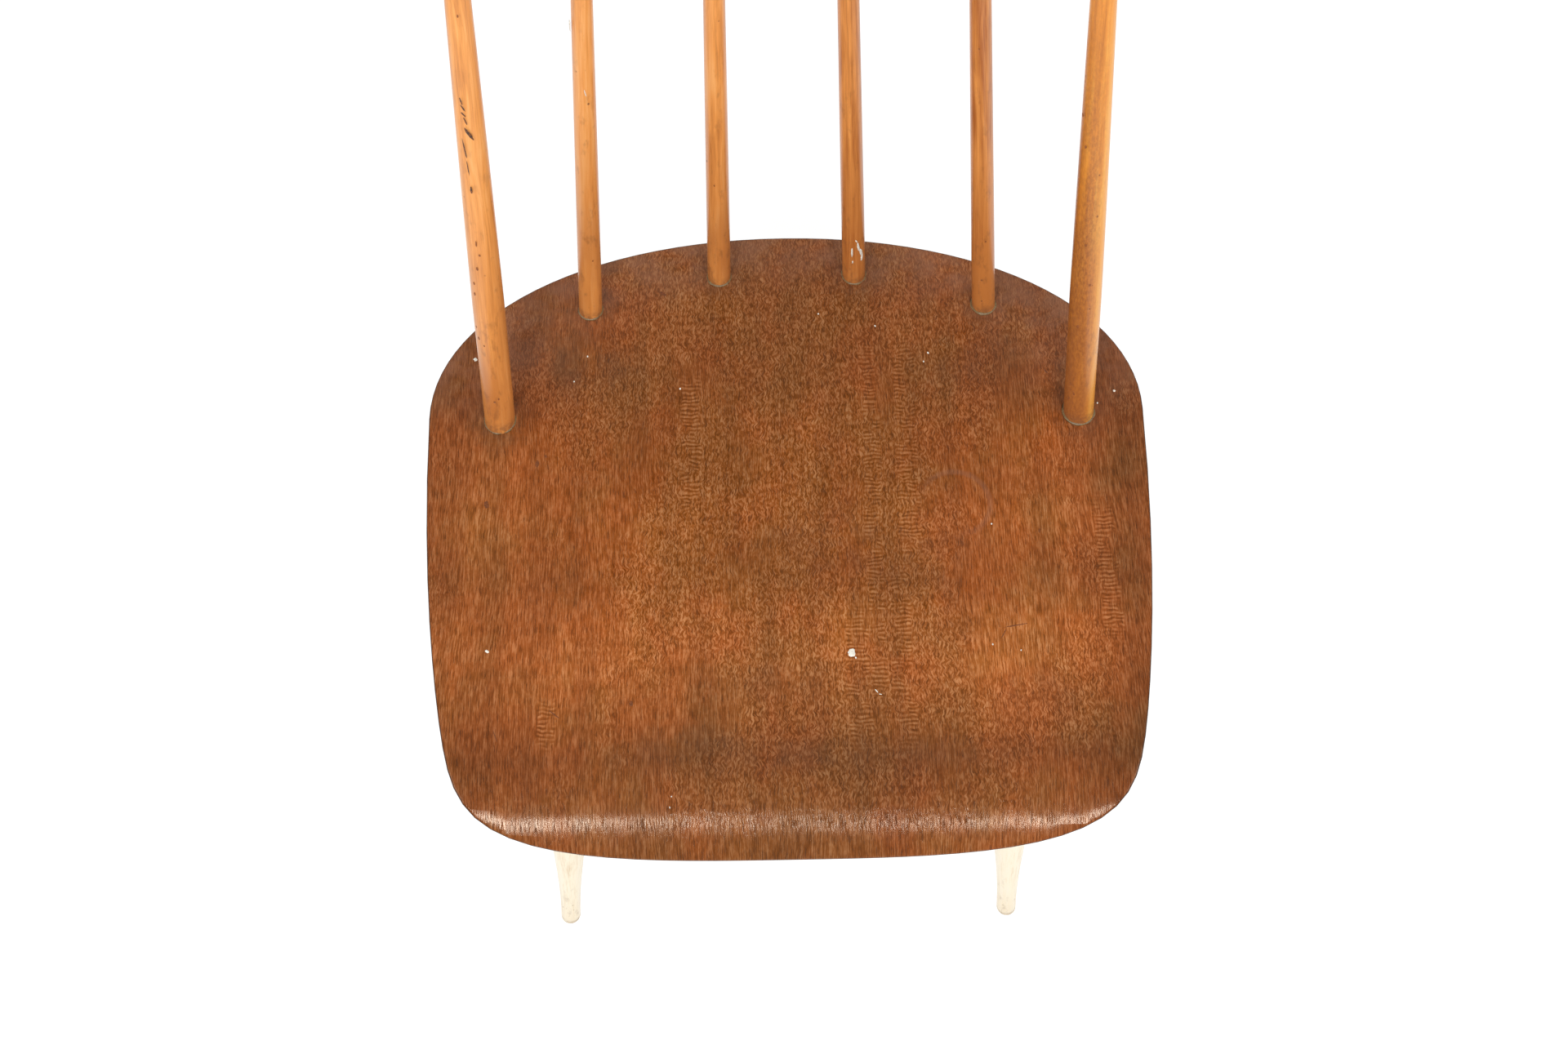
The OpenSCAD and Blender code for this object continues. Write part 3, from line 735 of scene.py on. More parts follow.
def rail_finish(colours):
    """Stained rail wood with long grain, pores and rubbed edges."""
    f = Finish("stained_rail", "grain")
    wood = f.moved(f.at, (14, 14, 90), (6, 6, 0))
    streak = f.noise((2.0, 4, 90), 3.0, 0.6, wood)
    pores = f.fade(f.noise((0.5, 1.2, 8), 1.0, 0.5, wood), 0.13, 0.25)
    broad = f.noise((30, 30, 80), 2.0)
    tone = f.add(0.5, f.times(streak, 0.7), f.times(broad, 0.5), f.times(pores, -0.18))
    colour = f.ramp(tone, [(0.2, colours.veneer_dark), (0.52, colours.rail),
                           (0.95, colours.veneer_light)])
    worn = f.times(f.fade(f.math("ABSOLUTE", f.x), 30, 38),
                   f.fade(f.noise((8, 8, 20), 3.0), 0.0, 0.2), 0.5)
    colour = f.mix(worn, colour, colours.veneer_light)
    rough = f.add(0.37, f.times(pores, 0.18), f.times(broad, 0.2), f.times(worn, 0.1))
    height = f.add(f.times(pores, -0.7), f.times(streak, 0.6))
    return f.surface(colour, rough, height, 0.12, **LACQUER)


def block_finish(colours):
    """Plain sawn beech with short ray flecks, dusty from long use."""
    f = Finish("plain_beech", "grain")
    wood = f.moved(f.at, (16, 16, 80), (5, 5, 0))
    streak = f.noise((3, 3, 90), 3.0, 0.6, wood)
    flecks = f.fade(f.noise((0.8, 0.8, 3.4), 1.0), 0.12, 0.24)
    broad = f.noise((40, 40, 90), 3.0)
    tone = f.add(0.5, f.times(streak, 0.7), f.times(broad, 0.5), f.times(flecks, -0.16))
    dark = blended(colours.block, colours.veneer_dark, 0.45)
    light = blended(colours.block, (1, 0.95, 0.85), 0.25)
    colour = f.ramp(tone, [(0.2, dark), (0.5, colours.block), (0.85, light)])
    dust = f.times(f.fade(f.noise((22, 22, 30), 4.0, 0.65), 0.0, 0.25), 0.4)
    colour = f.mix(dust, colour, blended(colours.block, colours.veneer_grime, 0.6))
    height = f.add(f.times(streak, 0.6), f.times(flecks, -0.5))
    return f.surface(colour, f.add(0.6, f.times(broad, 0.3)), height, 0.12)


def steel_finish(colours):
    """Zinc-plated screw steel, dulled and spotted."""
    f = Finish("dull_zinc", None)
    dull = f.noise((2.5, 2.5, 2.5), 4.0, 0.65)
    spots = f.spots((1.6, 1.6, 1.6), 0.35, 0.4)
    colour = f.mix(f.fade(dull, -0.2, 0.25), colours.steel,
                   blended(colours.steel, (0.1, 0.08, 0.06), 0.5))
    colour = f.mix(f.times(spots, 0.5), colour, (0.16, 0.08, 0.04))
    rough = f.add(0.42, f.times(dull, 0.4), f.times(spots, 0.2))
    return f.surface(colour, rough, dull, 0.05, Metallic=0.9)


def spill_finish(name, colour, shade, roughness, grain):
    """Dried paint, glue or ink: uneven colour on a slightly lumpy skin."""
    f = Finish(name, "grain")
    uneven = f.noise((grain,) * 3, 3.0, 0.6)
    colour = f.mix(f.fade(uneven, -0.15, 0.25), colour, shade)
    return f.surface(colour, f.add(roughness, f.times(uneven, 0.3)), uneven, 0.12)


# ---------- Pieces ----------

def seat_sheet(sizes, lines):
    """The seat, cut and bored as a flat sheet of plywood and then pressed."""
    outline = rear_outline(SEAT_HALF_W, SEAT_WIDE_SET, y_of(SEAT_WIDE_SET))
    outline += front_outline(-1) + front_outline(1)[-2::-1]
    thickness = sizes.seat_t / MM
    bm = board([(x, -along_sheet(REAR_Y - y, sizes)) for x, y in outline], thickness)
    rounded(bm, level_edges(bm, (0, -thickness)), sizes.seat_edge / MM, 3)
    sliced(bm, (1, 0, 0), range(-200, 201, 20))
    sliced(bm, (0, -1, 0), [*range(10, 350, 10), *range(352, 406, 2)])
    cutters = []
    for node, (foot, direction, _) in lines.items():
        play = WORN_SOCKETS.get(node, 0)
        hole = drill(stick_radii(node, sizes)[0] + play / 2 + SEAT_PLAY, -30, 30)
        hole.transform(placement(Vector((foot.x - play / 2, foot.y - REAR_Y, 0)), direction))
        cutters.append(hole)
    bm = bored(bm, cutters)
    with_coordinates(bm, "sheet", lambda co: (co.x, -co.y, -co.z))
    for v in bm.verts:
        v.co = pressed(v.co, sizes)
    bmesh.ops.recalc_face_normals(bm, faces=bm.faces)
    return bm


def stick_solid(node, sizes, line, number):
    """A post or stick from its socket under the seat to its tenon in the crest rail."""
    foot, direction, length = line
    is_post = node.startswith("post")
    low_r, high_r = stick_radii(node, sizes)
    start = POST_STRAIGHT if is_post else 0
    power = 1.2 if is_post else 1.15
    bottom = -sizes.seat_t / MM - SOCKET_DEPTH
    profile = [(0, bottom), (low_r - 1, bottom), (low_r, bottom + 1)]
    taper = length - CREST_CROSSING - TAPER_ROOM
    for share in shares(STICK_STEPS):
        thin = max(0, (share - start) / (1 - start)) ** power
        profile.append((low_r - (low_r - high_r) * thin, share * taper))
    top = length + TENON_RISE
    profile += [(high_r, top - 1), (high_r - 1, top), (0, top)]
    bm = turned(profile)
    with_coordinates(bm, "grain", lambda co: (co.x + GRAIN_APART * number, co.y, co.z))
    bm.transform(placement(foot, direction))
    return bm


def leg_solid(node, sizes, number, cutters):
    """A leg, level at the floor and under its block, bored for its side stretcher."""
    low, high = axis_of(node)
    direction = (high - low).normalized()
    length = (BLOCK_Z - low.z) / direction.z
    foot_r, leg_r, top_r = sizes.foot_r / MM, sizes.leg_r / MM, sizes.leg_top_r / MM
    profile = [(0, -LEG_PLAIN), (foot_r, -LEG_PLAIN)]
    for share in shares(LEG_STEPS):
        if share < LEG_PEAK:
            radius = foot_r + (leg_r - foot_r) * math.sin(math.pi / 2 * share / LEG_PEAK) ** 2
        else:
            late = (share - LEG_PEAK) / (1 - LEG_PEAK)
            radius = leg_r - (leg_r - top_r) * math.sin(math.pi / 2 * late) ** 2
        profile.append((radius, LEG_PLAIN + share * (length - 2 * LEG_PLAIN)))
    profile += [(top_r, length + LEG_PLAIN), (0, length + LEG_PLAIN)]
    bm = turned(profile)
    place = placement(low, direction)
    bm.transform(place)
    cut_off(bm, BLOCK_Z + 0.5, keep_above=False)
    sole = cut_off(bm, 0, keep_above=True)
    rounded(bm, [e for face in sole for e in face.edges], 0.8, 2)
    return grained(bored(bm, cutters), place, number)


def grained(bm, place, number, height=0):
    """Gives a placed turned solid the grain of its place in the pattern."""
    back = place.inverted()
    start = Vector((GRAIN_APART * number, 0, height))
    return with_coordinates(bm, "grain", lambda co: back @ co + start)


def stretcher_solid(node, sizes, socket, end_r):
    """A stretcher and its placement. It swells from plain ends that go a socket's depth in."""
    low, high = axis_of(node)
    length = (high - low).length
    full_r = sizes.stretcher_r / MM
    reach = socket + PLAIN_END
    profile = [(0, 0), (end_r - 0.5, 0), (end_r, 0.5)]
    for share in shares(STRETCHER_STEPS):
        swell = math.sin(math.pi * share) ** 0.8 if 0 < share < 1 else 0
        profile.append((end_r + (full_r - end_r) * swell, reach + share * (length - 2 * reach)))
    profile += [(end_r, length - 0.5), (end_r - 0.5, length), (0, length)]
    bm = turned(profile)
    place = placement(low, (high - low).normalized())
    bm.transform(place)
    return bm, place


def rail_bend(sizes):
    """The bend of the crest rail: its centre and radius, and its section's tilt and height."""
    radius = sizes.crest_bend_r / MM
    middle_x = (RAIL_LOW.x + RAIL_HIGH.x) / 2
    edge, tilt = sizes.crest_edge_r / MM, sizes.crest_tilt
    thick = sizes.crest_t / MM
    tall = RAIL_HIGH.z - RAIL_LOW.z
    section = 2 * edge + (tall - 2 * edge - (thick - 2 * edge) * math.sin(tilt)) / math.cos(tilt)
    reach = edge + (section / 2 - edge) * math.sin(tilt) + (thick / 2 - edge) * math.cos(tilt)
    centre = Vector((middle_x, RAIL_HIGH.y - reach - radius, (RAIL_LOW.z + RAIL_HIGH.z) / 2))
    return centre, radius, tilt, section


def rail_solid(sizes, lines):
    """The crest rail: a rounded board, bent to its radius and tilted back, bored from below."""
    centre, radius, tilt, section = rail_bend(sizes)
    thick, edge = sizes.crest_t / MM, sizes.crest_edge_r / MM
    half_w = radius * math.asin((RAIL_HIGH.x - RAIL_LOW.x) / 2 / (radius + edge / 2))
    steps = 2 * OUTLINE_STEPS
    upper = []
    for i in range(steps + 1):
        share = math.sin(math.pi / 2 * (2 * i / steps - 1))
        fullness = (1 - abs(share) ** CREST_FULLNESS) ** (1 / CREST_ROUNDNESS)
        upper.append((share * half_w, section / 2 * fullness))
    lower = [(x, -h) for x, h in upper[-2:0:-1]]
    bm = board(upper + lower, thick)
    bmesh.ops.translate(bm, verts=bm.verts, vec=(0, 0, thick / 2))
    rounded(bm, level_edges(bm, (-thick / 2, thick / 2)), edge, 6)
    sliced(bm, (1, 0, 0), range(-186, 187, 6))
    sliced(bm, (0, 1, 0), (-24, -12, 0, 12, 24))
    for v in bm.verts:
        along, up, off = v.co
        out = radius + (off * math.cos(tilt) + up * math.sin(tilt))
        high = up * math.cos(tilt) - off * math.sin(tilt)
        turn = along / radius
        v.co = centre + Vector((out * math.sin(turn), out * math.cos(turn), high))
    bmesh.ops.recalc_face_normals(bm, faces=bm.faces)
    cutters = []
    for node, (foot, direction, length) in lines.items():
        hole = drill(stick_radii(node, sizes)[1] + WOOD_PLAY,
                     length - 40, length + TENON_RISE + WOOD_PLAY)
        hole.transform(placement(foot, direction))
        cutters.append(hole)
    bm = bored(bm, cutters)

    def in_wood(co):
        local = co - centre
        out, high = math.hypot(local.x, local.y) - radius, local.z
        return (high * math.cos(tilt) + out * math.sin(tilt),
                out * math.cos(tilt) - high * math.sin(tilt),
                radius * math.atan2(local.x, local.y))
    return with_coordinates(bm, "grain", in_wood)


def screw_cutter(x, set_):
    """A countersunk hole from below, a little wider than its screw."""
    head_r, hole_r = SCREW_HEAD_R + 0.35, SCREW_R + 0.15
    hole = turned([(0, -3), (head_r, -3), (head_r, 0.05), (hole_r, SCREW_HEAD_H + 0.2),
                   (hole_r, BLANK_H), (0, BLANK_H)], 32)
    hole.transform(Matrix.Translation((x, y_of(set_), BLOCK_Z)))
    return hole


def block_solid(outline, screws, sizes):
    """A block that fits under the seat, with rounded lower edges and countersunk screw holes."""
    bm = board(outline, BLANK_H)
    rounded(bm, level_edges(bm, (-BLANK_H,)), sizes.block_edge / MM, 3)
    bmesh.ops.translate(bm, verts=bm.verts, vec=(0, 0, BLOCK_Z + BLANK_H))
    sliced(bm, (0, 1, 0), range(-120, 168, 12))
    for v in bm.verts:
        if v.co.z > BLOCK_Z + BLANK_H / 2:
            v.co.z = seat_underside(REAR_Y - v.co.y, sizes) + 0.02
    bm = bored(bm, [screw_cutter(*place) for place in screws])
    return with_coordinates(bm, "grain", lambda co: (co.y, co.z, co.x))


def glue_bead(foot, direction, radius, width, seed):
    """An uneven ring of old glue in the corner between a stick and the seat."""
    bm = bmesh.new()
    section = ((-0.5, -0.4), (1.0, -0.3), (0.95, 0.08), (0.45, 0.25), (0.08, 0.8), (-0.5, 0.9))
    loop = [bm.verts.new((radius + a * width if a > 0 else radius + a, 0, b)) for a, b in section]
    edges = [bm.edges.new((loop[i - 1], loop[i])) for i in range(len(loop))]
    bmesh.ops.spin(bm, geom=loop + edges, cent=(0, 0, 0), axis=(0, 0, 1),
                   angle=2 * math.pi, steps=56, use_merge=True)
    for v in bm.verts:
        out = math.hypot(v.co.x, v.co.y)
        around = v.co.xy / out
        uneven = 0.75 + 0.7 * lump((around.x * 2.2 + seed, around.y * 2.2, 0))
        out = radius + (out - radius) * uneven if out > radius else out
        v.co.x, v.co.y = around * out
        v.co.z = v.co.z * uneven if v.co.z > 0 else v.co.z
    with_coordinates(bm, "grain", tuple)
    for v in bm.verts:
        v.co += foot + direction * (v.co.z / direction.z) - Vector((0, 0, v.co.z))
    bmesh.ops.recalc_face_normals(bm, faces=bm.faces)
    return bm


def drop(long, wide, high, turn, seed):
    """A low uneven lump that lies on the XY plane and dips a little below it."""
    bm = bmesh.new()
    bmesh.ops.create_icosphere(bm, subdivisions=3, radius=1)
    for v in bm.verts:
        v.co *= (1 + 0.42 * lump(v.co * 1.3 + Vector((seed * 3.7, 0, 0)))
                 + 0.2 * lump(v.co * 3 + Vector((0, seed, 0))))
    bmesh.ops.scale(bm, verts=bm.verts, vec=(wide / 2, long / 2, high))
    bmesh.ops.rotate(bm, verts=bm.verts, cent=(0, 0, 0),
                     matrix=Matrix.Rotation(math.radians(turn), 3, "Z"))
    return with_coordinates(bm, "grain", lambda co: (co.x + seed * 9, co.y, co.z))


def on_seat(bm, x, set_, sizes):
    """Lays a lump on the seat."""
    for v in bm.verts:
        v.co = pressed(Vector((x + v.co.x, v.co.y - set_, v.co.z)), sizes)
    return bm


def on_stick(bm, line, radius, height, angle):
    """Wraps a lump round a stick, at a height from its foot and an angle from -Y towards +X."""
    foot, direction, _ = line
    front = (Vector((0, -1, 0)) - direction * -direction.y).normalized()
    right = front.cross(direction) * -1
    for v in bm.verts:
        turn = math.radians(angle) + v.co.x / radius
        out = front * math.cos(turn) + right * math.sin(turn)
        v.co = foot + direction * (height + v.co.y) + out * (radius + v.co.z)
    return bm


# Marks: the piece that they are on, then for each its place, length, width and turn. A place
# is x and set on the seat, and on a stick the height above its foot and the angle from -Y to +X.
# Specks of paint on the seat.
SPECKS = (
    ("seat", (34, 283, 4.6, 4.2, 0), (-175, 278, 2.6, 1.6, 60), (-191, 84, 2.6, 2.0, 20),
     (88, 84, 1.6, 0.9, 30), (85, 90, 1.2, 0.8, 0), (56, 65, 1.3, 1.0, 50),
     (-65, 106, 1.3, 1.1, 0), (21, 56, 1.1, 0.9, 20), (-122, 83, 1.2, 1.0, 0),
     (-130, 100, 1.1, 0.9, 0), (201, 112, 1.6, 1.3, 40), (190, 120, 1.1, 1.0, 0),
     (120, 200, 1.1, 1.0, 0), (115, 279, 1.3, 0.9, 0), (131, 283, 1.0, 0.8, 0),
     (-70, 373, 1.2, 0.6, 10), (-69, 367, 0.8, 0.6, -20), (47, 307, 2.4, 0.7, 35),
     (49, 309, 1.6, 0.6, 80), (36, 286, 1.3, 1.0, 0)),
)
# Drips and chips on the sticks.
DRIPS = (
    ("stick_inner_right", (33, 25, 7, 1.5, 8), (27, 40, 8, 1.9, 14), (22, 44, 6, 1.6, -8),
     (29, -8, 7.5, 1.1, 0), (39, 14, 2.5, 0.9, 20), (20, -6, 2.2, 0.9, 0)),
    ("stick_outer_left", (230, -66, 8, 1.6, 0), (186, 6, 4.5, 0.5, 12)),
)
# Faded strokes on the left post.
STROKES = (
    ("post_left", (238, -15, 4, 0.7, 15), (234, -11, 4.5, 0.8, 30), (230, -12, 3.5, 0.8, 40),
     (226, -7, 4.5, 0.8, 20), (218, 0, 8.5, 1.7, 28), (208, -20, 11, 0.8, 8),
     (196, -15, 9, 0.6, 4), (181, -11, 4.5, 1.1, 0)),
)
# Dark dents in the posts and sticks.
DENTS = (
    ("post_left", (289, 3, 1.6, 0.8, 0), (144, -14, 4, 0.7, 0), (136, -6, 1.6, 1, 0),
     (126, -20, 2.2, 1.2, 10), (114, -41, 1.8, 1.3, 0), (106, -43, 2.2, 1.5, 0),
     (80, -55, 1.8, 1.4, 0), (72, -47, 2.4, 1.6, 0), (68, -24, 1.4, 1, 0), (26, 10, 1.8, 1, 0)),
    ("post_right", (222, -60, 2.2, 1.2, 0), (203, -39, 1.8, 1.2, 0), (137, -18, 2, 1.4, 0),
     (108, 5, 1.6, 1.2, 0), (76, -30, 2.2, 1.5, 0), (29, -45, 1.8, 1.2, 0),
     (22, -30, 2.2, 1.5, 20), (17, -50, 1.6, 1.2, 0)),
    ("stick_outer_right", (64, 10, 1.4, 0.9, 0)),
    ("stick_inner_left", (90, -15, 1.6, 0.8, 0)),
    ("stick_outer_left", (52, 20, 1.3, 0.8, 0)),
)
# Knots, scratches and dark spots in the seat's veneer.
SPOTS = (
    ("seat", (-180, 182, 4.5, 3, 20), (-151, 155, 5, 2.2, 0), (-146, 150, 2, 1.5, 0),
     (130, 267, 14, 0.7, -80), (122, 272, 7, 0.6, -30), (-76, 40, 5, 2.5, 60),
     (-168, 330, 7, 0.6, 20), (-135, 318, 8, 0.7, 50), (-92, 312, 3, 2.2, 0), (148, 205, 3, 1, 0),
     (160, 98, 3.5, 1.2, 30)),
)


# ---------- Operators ----------

def looks(context):
    return context.scene.chair_sizes, context.scene.chair_colours


class CHAIR_OT_seat(bpy.types.Operator):
    """Makes the pressed plywood seat with its sockets and veneer"""
    bl_idname = "chair.seat"
    bl_label = "Seat"

    def execute(self, context):
        sizes, colours = looks(context)
        lines = stick_lines(sizes)
        feet = [((foot.x, REAR_Y - foot.y), stick_radii(node, sizes)[0])
                for node, (foot, _, _) in lines.items()]
        finished("seat_veneer_sheet", seat_sheet(sizes, lines), veneer_finish(colours, sizes, feet),
                 "seat")
        return {"FINISHED"}


class CHAIR_OT_sticks(bpy.types.Operator):
    """Makes the two posts and four sticks of the back"""
    bl_idname = "chair.sticks"
    bl_label = "Posts and sticks"

    def execute(self, context):
        sizes, colours = looks(context)
        dark, mid = colours.stick_dark, colours.stick_mid
        wood = turned_finish("amber_birch", dark, mid, colours.stick_light,
                             blended(dark, mid, 0.25), blended(colours.veneer_grime, dark, 0.3),
                             190, 1.0)
        for number, (node, line) in enumerate(stick_lines(sizes).items()):
            finished("turned_" + node, stick_solid(node, sizes, line, number), wood,
                     node)
        return {"FINISHED"}


class CHAIR_OT_crest_rail(bpy.types.Operator):
    """Makes the bent crest rail"""
    bl_idname = "chair.crest_rail"
    bl_label = "Crest rail"

    def execute(self, context):
        sizes, colours = looks(context)
        finished("bent_crest_rail", rail_solid(sizes, stick_lines(sizes)), rail_finish(colours),
                 "crest_rail")
        return {"FINISHED"}


class CHAIR_OT_blocks(bpy.types.Operator):
    """Makes the two blocks that carry the seat, and finishes their screws"""
    bl_idname = "chair.blocks"
    bl_label = "Blocks and screws"

    def execute(self, context):
        sizes, colours = looks(context)
        wood = block_finish(colours)
        half_w = (BACK_HIGH.x - BACK_LOW.x) / 2
        back = rear_outline(half_w, SEAT_WIDE_SET - sizes.block_inset / MM, y_of(SEAT_WIDE_SET))
        back += [(-half_w, BACK_LOW.y), (half_w, BACK_LOW.y)]
        corner = sizes.bearer_corner / MM
        bearer = []
        for quarter in range(4):
            x = BEARER_HIGH.x - corner if quarter in (0, 3) else BEARER_LOW.x + corner
            y = BEARER_HIGH.y - corner if quarter < 2 else BEARER_LOW.y + corner
            for share in shares(CORNER_STEPS):
                turn = math.pi / 2 * (quarter + share)
                bearer.append((x + corner * math.cos(turn), y + corner * math.sin(turn)))
        finished("beech_back_block", block_solid(back, SCREWS_REAR, sizes), wood,
                 "back_block")
        finished("beech_front_bearer", block_solid(bearer, SCREWS_FRONT, sizes), wood,
                 "front_bearer")
        steel = steel_finish(colours)
        for node in ("back_block_screws", "front_bearer_screws"):
            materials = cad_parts[node].data.materials
            materials.clear()
            materials.append(steel)
        return {"FINISHED"}


class CHAIR_OT_legs(bpy.types.Operator):
    """Makes the four legs and the three stretchers"""
    bl_idname = "chair.legs"
    bl_label = "Legs and stretchers"

    def execute(self, context):
        sizes, colours = looks(context)
        dark, mid = colours.leg_dark, colours.leg_mid
        wood = turned_finish("pale_birch", dark, mid, blended(mid, (1, 1, 1), 0.3),
                             blended(dark, mid, 0.5), blended(colours.veneer_grime, dark, 0.5),
                             60, 0.4)
        number = FIRST_LEG_PLACE
        for side in SIDES:
            for end in ("front", "rear"):
                node = f"leg_{end}_{side}"
                cutter, _ = stretcher_solid("stretcher_" + side, sizes, SIDE_SOCKET,
                                            SIDE_END_R + WOOD_PLAY)
                finished("turned_" + node, leg_solid(node, sizes, number, [cutter]), wood,
                         node)
                number += 1
        for node in ("stretcher_left", "stretcher_right", "stretcher_cross"):
            if node == "stretcher_cross":
                bm, place = stretcher_solid(node, sizes, CROSS_SOCKET, CROSS_END_R)
            else:
                bm, place = stretcher_solid(node, sizes, SIDE_SOCKET, SIDE_END_R)
                cutter, _ = stretcher_solid("stretcher_cross", sizes, CROSS_SOCKET,
                                            CROSS_END_R + WOOD_PLAY)
                bm = bored(bm, [cutter])
            finished("turned_" + node, grained(bm, place, number, STRETCHER_GRAIN_Z), wood,
                     node)
            number += 1
        return {"FINISHED"}


class CHAIR_OT_marks(bpy.types.Operator):
    """Makes the old glue, paint specks, drips, strokes and dents"""
    bl_idname = "chair.marks"
    bl_label = "Glue, paint and marks"

    def execute(self, context):
        sizes, colours = looks(context)
        grime, stain = colours.veneer_grime, colours.stick_dark
        lines = stick_lines(sizes)
        radii = {node: stick_radii(node, sizes)[0] for node in STICKS}
        beads = [glue_bead(lines[node][0], lines[node][1],
                           radii[node] + WORN_SOCKETS.get(node, 0) / 3, sizes.bead_w / MM, 5 * i)
                 for i, node in enumerate(STICKS)]
        glue = spill_finish("old_glue", colours.glue, blended(colours.glue, grime, 0.7), 0.4, 1.5)
        finished("glue_beads", joined(beads), glue)

        def on_wood(bm, part, first, second):
            if part == "seat":
                return on_seat(bm, first, second, sizes)
            return on_stick(bm, lines[part], radii[part], first, second)

        paint = spill_finish("dried_paint", colours.paint,
                             blended(colours.paint, colours.glue, 0.35), 0.5, 0.8)
        ink = spill_finish("faded_ink", colours.ink, blended(colours.ink, stain, 0.6), 0.5, 1.2)
        dirt = spill_finish("old_dirt", blended(grime, stain, 0.45), blended(grime, stain, 0.8),
                            0.6, 0.8)
        dark = spill_finish("rubbed_in_dirt", blended(grime, colours.veneer_dark, 0.6),
                            blended(colours.veneer_dark, colours.veneer_mid, 0.5), 0.45, 1.0)
        for name, groups, high, finish in (("paint_specks", SPECKS, 0.35, paint),
                                           ("paint_drips", DRIPS, 0.3, paint),
                                           ("faded_strokes", STROKES, 0.1, ink),
                                           ("dirty_dents", DENTS, 0.08, dirt),
                                           ("dark_spots", SPOTS, 0.06, dark)):
            rows = [(part, *row) for part, *rows in groups for row in rows]
            marks = [on_wood(drop(long, wide, high, turn, i), *place)
                     for i, (*place, long, wide, turn) in enumerate(rows)]
            finished(name, joined(marks), finish)
        return {"FINISHED"}


# Lamps: name, place, what it is aimed at, width and height in metres, and watts.
LAMPS = (("softbox_left", (-0.57, -1.26, 2.1), (0, -0.2, 0.44), 0.42, 0.4, 17),
         ("softbox_right", (0.64, -1.52, 2.1), (0, -0.2, 0.44), 0.44, 0.4, 15),
         ("side_left", (-1.8, -0.5, 1.7), (0, -0.1, 0.4), 1.2, 1.2, 11),
         ("side_right", (1.8, -0.5, 1.7), (0, -0.1, 0.4), 1.2, 1.2, 12))
FLOOR_HALF_W = 8
# Just under the feet, so that soles and floor don't share a plane.
FLOOR_DROP = 0.0004
# The grey that the floor shows in shade, and how white it glows near the chair and far from it.
FLOOR_GREY = 0.42
FLOOR_NEAR, FLOOR_FAR = (0.9, 0.74), (3.0, 0.93)
# The grey that the floor has for the light that it throws back at the chair.
FLOOR_BOUNCE = 0.8
# The strength of the world as a light. It shows as full white.
WORLD_LIGHT = 0.44
# The camera's x and height in metres, and its distance in front of the seat's rear edge.
CAMERA_X, CAMERA_Z, CAMERA_SET = -0.0183, 1.485, 701.6
# The camera's turns in degrees: around the upright, up from straight down, and around its view.
CAMERA_TURNS = ((-1.71, "Z"), (25.71, "X"), (0.593, "Z"))
LENS, SENSOR_W = 45, 36


def paper_finish():
    """White paper that glows softly where it is looked at, and takes the chair's shadow."""
    paper = bpy.data.materials.new("white_paper")
    paper.use_nodes = True
    n = Nodes(paper.node_tree)
    n.tree.nodes.clear()
    rays = n.node("LightPath").outputs
    away = n.length(n.node("TexCoord").outputs["Object"])
    white = n.node("MapRange", {0: away, 1: FLOOR_NEAR[0], 2: FLOOR_FAR[0],
                                3: FLOOR_NEAR[1], 4: FLOOR_FAR[1]})
    glow = n.node("Emission", {"Strength": white.outputs[0]})
    shown = n.node("BsdfDiffuse", {"Color": (FLOOR_GREY,) * 3})
    shown = n.node("AddShader", {0: shown.outputs[0], 1: glow.outputs[0]})
    bounce = n.node("BsdfDiffuse", {"Color": (FLOOR_BOUNCE,) * 3})
    looked_at = n.most(rays["Is Camera Ray"], rays["Is Glossy Ray"], rays["Is Transmission Ray"])
    above = n.node("MixShader", {0: looked_at, 1: bounce.outputs[0], 2: shown.outputs[0]})
    either = n.node("MixShader", {0: n.node("NewGeometry").outputs["Backfacing"],
                                  1: above.outputs[0], 2: n.node("BsdfTransparent").outputs[0]})
    n.node("OutputMaterial", {0: either.outputs[0]})
    return paper


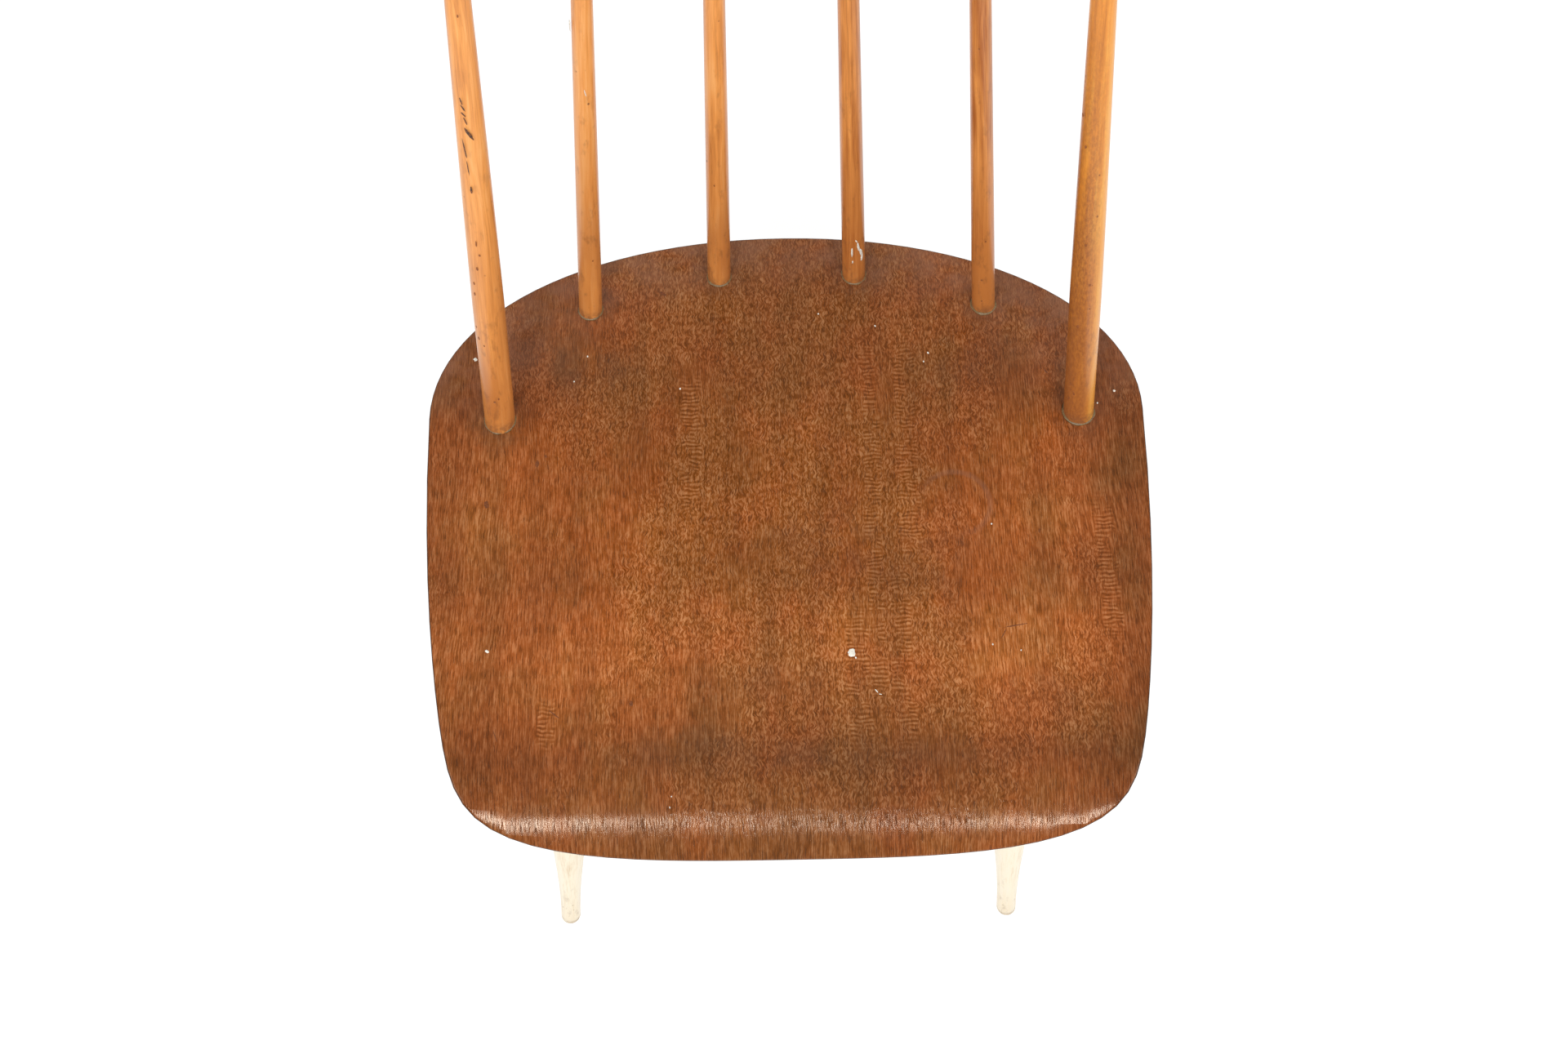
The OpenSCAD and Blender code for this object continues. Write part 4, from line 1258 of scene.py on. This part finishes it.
class CHAIR_OT_stage(bpy.types.Operator):
    """Makes the white floor, the studio light and the camera"""
    bl_idname = "chair.stage"
    bl_label = "Stage"

    def execute(self, context):
        scene = context.scene
        bm = bmesh.new()
        bmesh.ops.create_grid(bm, x_segments=1, y_segments=1, size=FLOOR_HALF_W)
        bmesh.ops.translate(bm, verts=bm.verts, vec=(0, 0, -FLOOR_DROP))
        mesh = bpy.data.meshes.new("floor")
        bm.to_mesh(mesh)
        bm.free()
        mesh.materials.append(paper_finish())
        in_scene("floor", mesh)

        scene.world = bpy.data.worlds.new("studio")
        scene.world.use_nodes = True
        n = Nodes(scene.world.node_tree)
        back = n.tree.nodes["Background"]
        n.plug(back.inputs["Color"], (1, 1, 1))
        n.plug(back.inputs["Strength"],
               n.math("MULTIPLY_ADD", n.node("LightPath").outputs["Is Camera Ray"],
                      1 - WORLD_LIGHT, WORLD_LIGHT))

        for name, place, aim, wide, high, watts in LAMPS:
            data = bpy.data.lights.new(name, "AREA")
            data.shape = "RECTANGLE"
            data.size, data.size_y, data.energy = wide, high, watts
            lamp = in_scene(name, data)
            lamp.location = place
            lamp.rotation_euler = (Vector(aim) - lamp.location).to_track_quat("-Z", "Y").to_euler()

        data = bpy.data.cameras.new("camera")
        data.lens, data.sensor_width = LENS, SENSOR_W
        data.clip_start, data.clip_end = 0.05, 50
        scene.camera = in_scene("camera", data)
        pose = Matrix.Translation((CAMERA_X, (REAR_Y - CAMERA_SET) * MM, CAMERA_Z))
        for degrees, axis in CAMERA_TURNS:
            pose = pose @ Matrix.Rotation(math.radians(degrees), 4, axis)
        scene.camera.matrix_world = pose
        scene.view_settings.view_transform = "Standard"
        return {"FINISHED"}


class CHAIR_PT_panel(bpy.types.Panel):
    """Lists the chair's pieces, sizes and colours"""
    bl_idname = "CHAIR_PT_panel"
    bl_label = "Spindle-back chair"
    bl_space_type = "VIEW_3D"
    bl_region_type = "UI"
    bl_category = "Chair"

    def draw(self, context):
        for operator in OPERATORS:
            self.layout.operator(operator.bl_idname)
        for group in looks(context):
            for key in group.bl_rna.properties.keys():
                if key not in ("rna_type", "name"):
                    self.layout.prop(group, key)


OPERATORS = (CHAIR_OT_seat, CHAIR_OT_sticks, CHAIR_OT_crest_rail, CHAIR_OT_blocks, CHAIR_OT_legs,
             CHAIR_OT_marks, CHAIR_OT_stage)
CLASSES = (ChairSizes, ChairColours, *OPERATORS, CHAIR_PT_panel)


def register():
    for cls in CLASSES:
        bpy.utils.register_class(cls)
    bpy.types.Scene.chair_sizes = bpy.props.PointerProperty(type=ChairSizes)
    bpy.types.Scene.chair_colours = bpy.props.PointerProperty(type=ChairColours)


def unregister():
    del bpy.types.Scene.chair_colours
    del bpy.types.Scene.chair_sizes
    for cls in reversed(CLASSES):
        bpy.utils.unregister_class(cls)


def main():
    register()
    bpy.ops.chair.seat()
    bpy.ops.chair.sticks()
    bpy.ops.chair.crest_rail()
    bpy.ops.chair.blocks()
    bpy.ops.chair.legs()
    bpy.ops.chair.marks()
    bpy.ops.chair.stage()


if __name__ == "__main__":
    main()
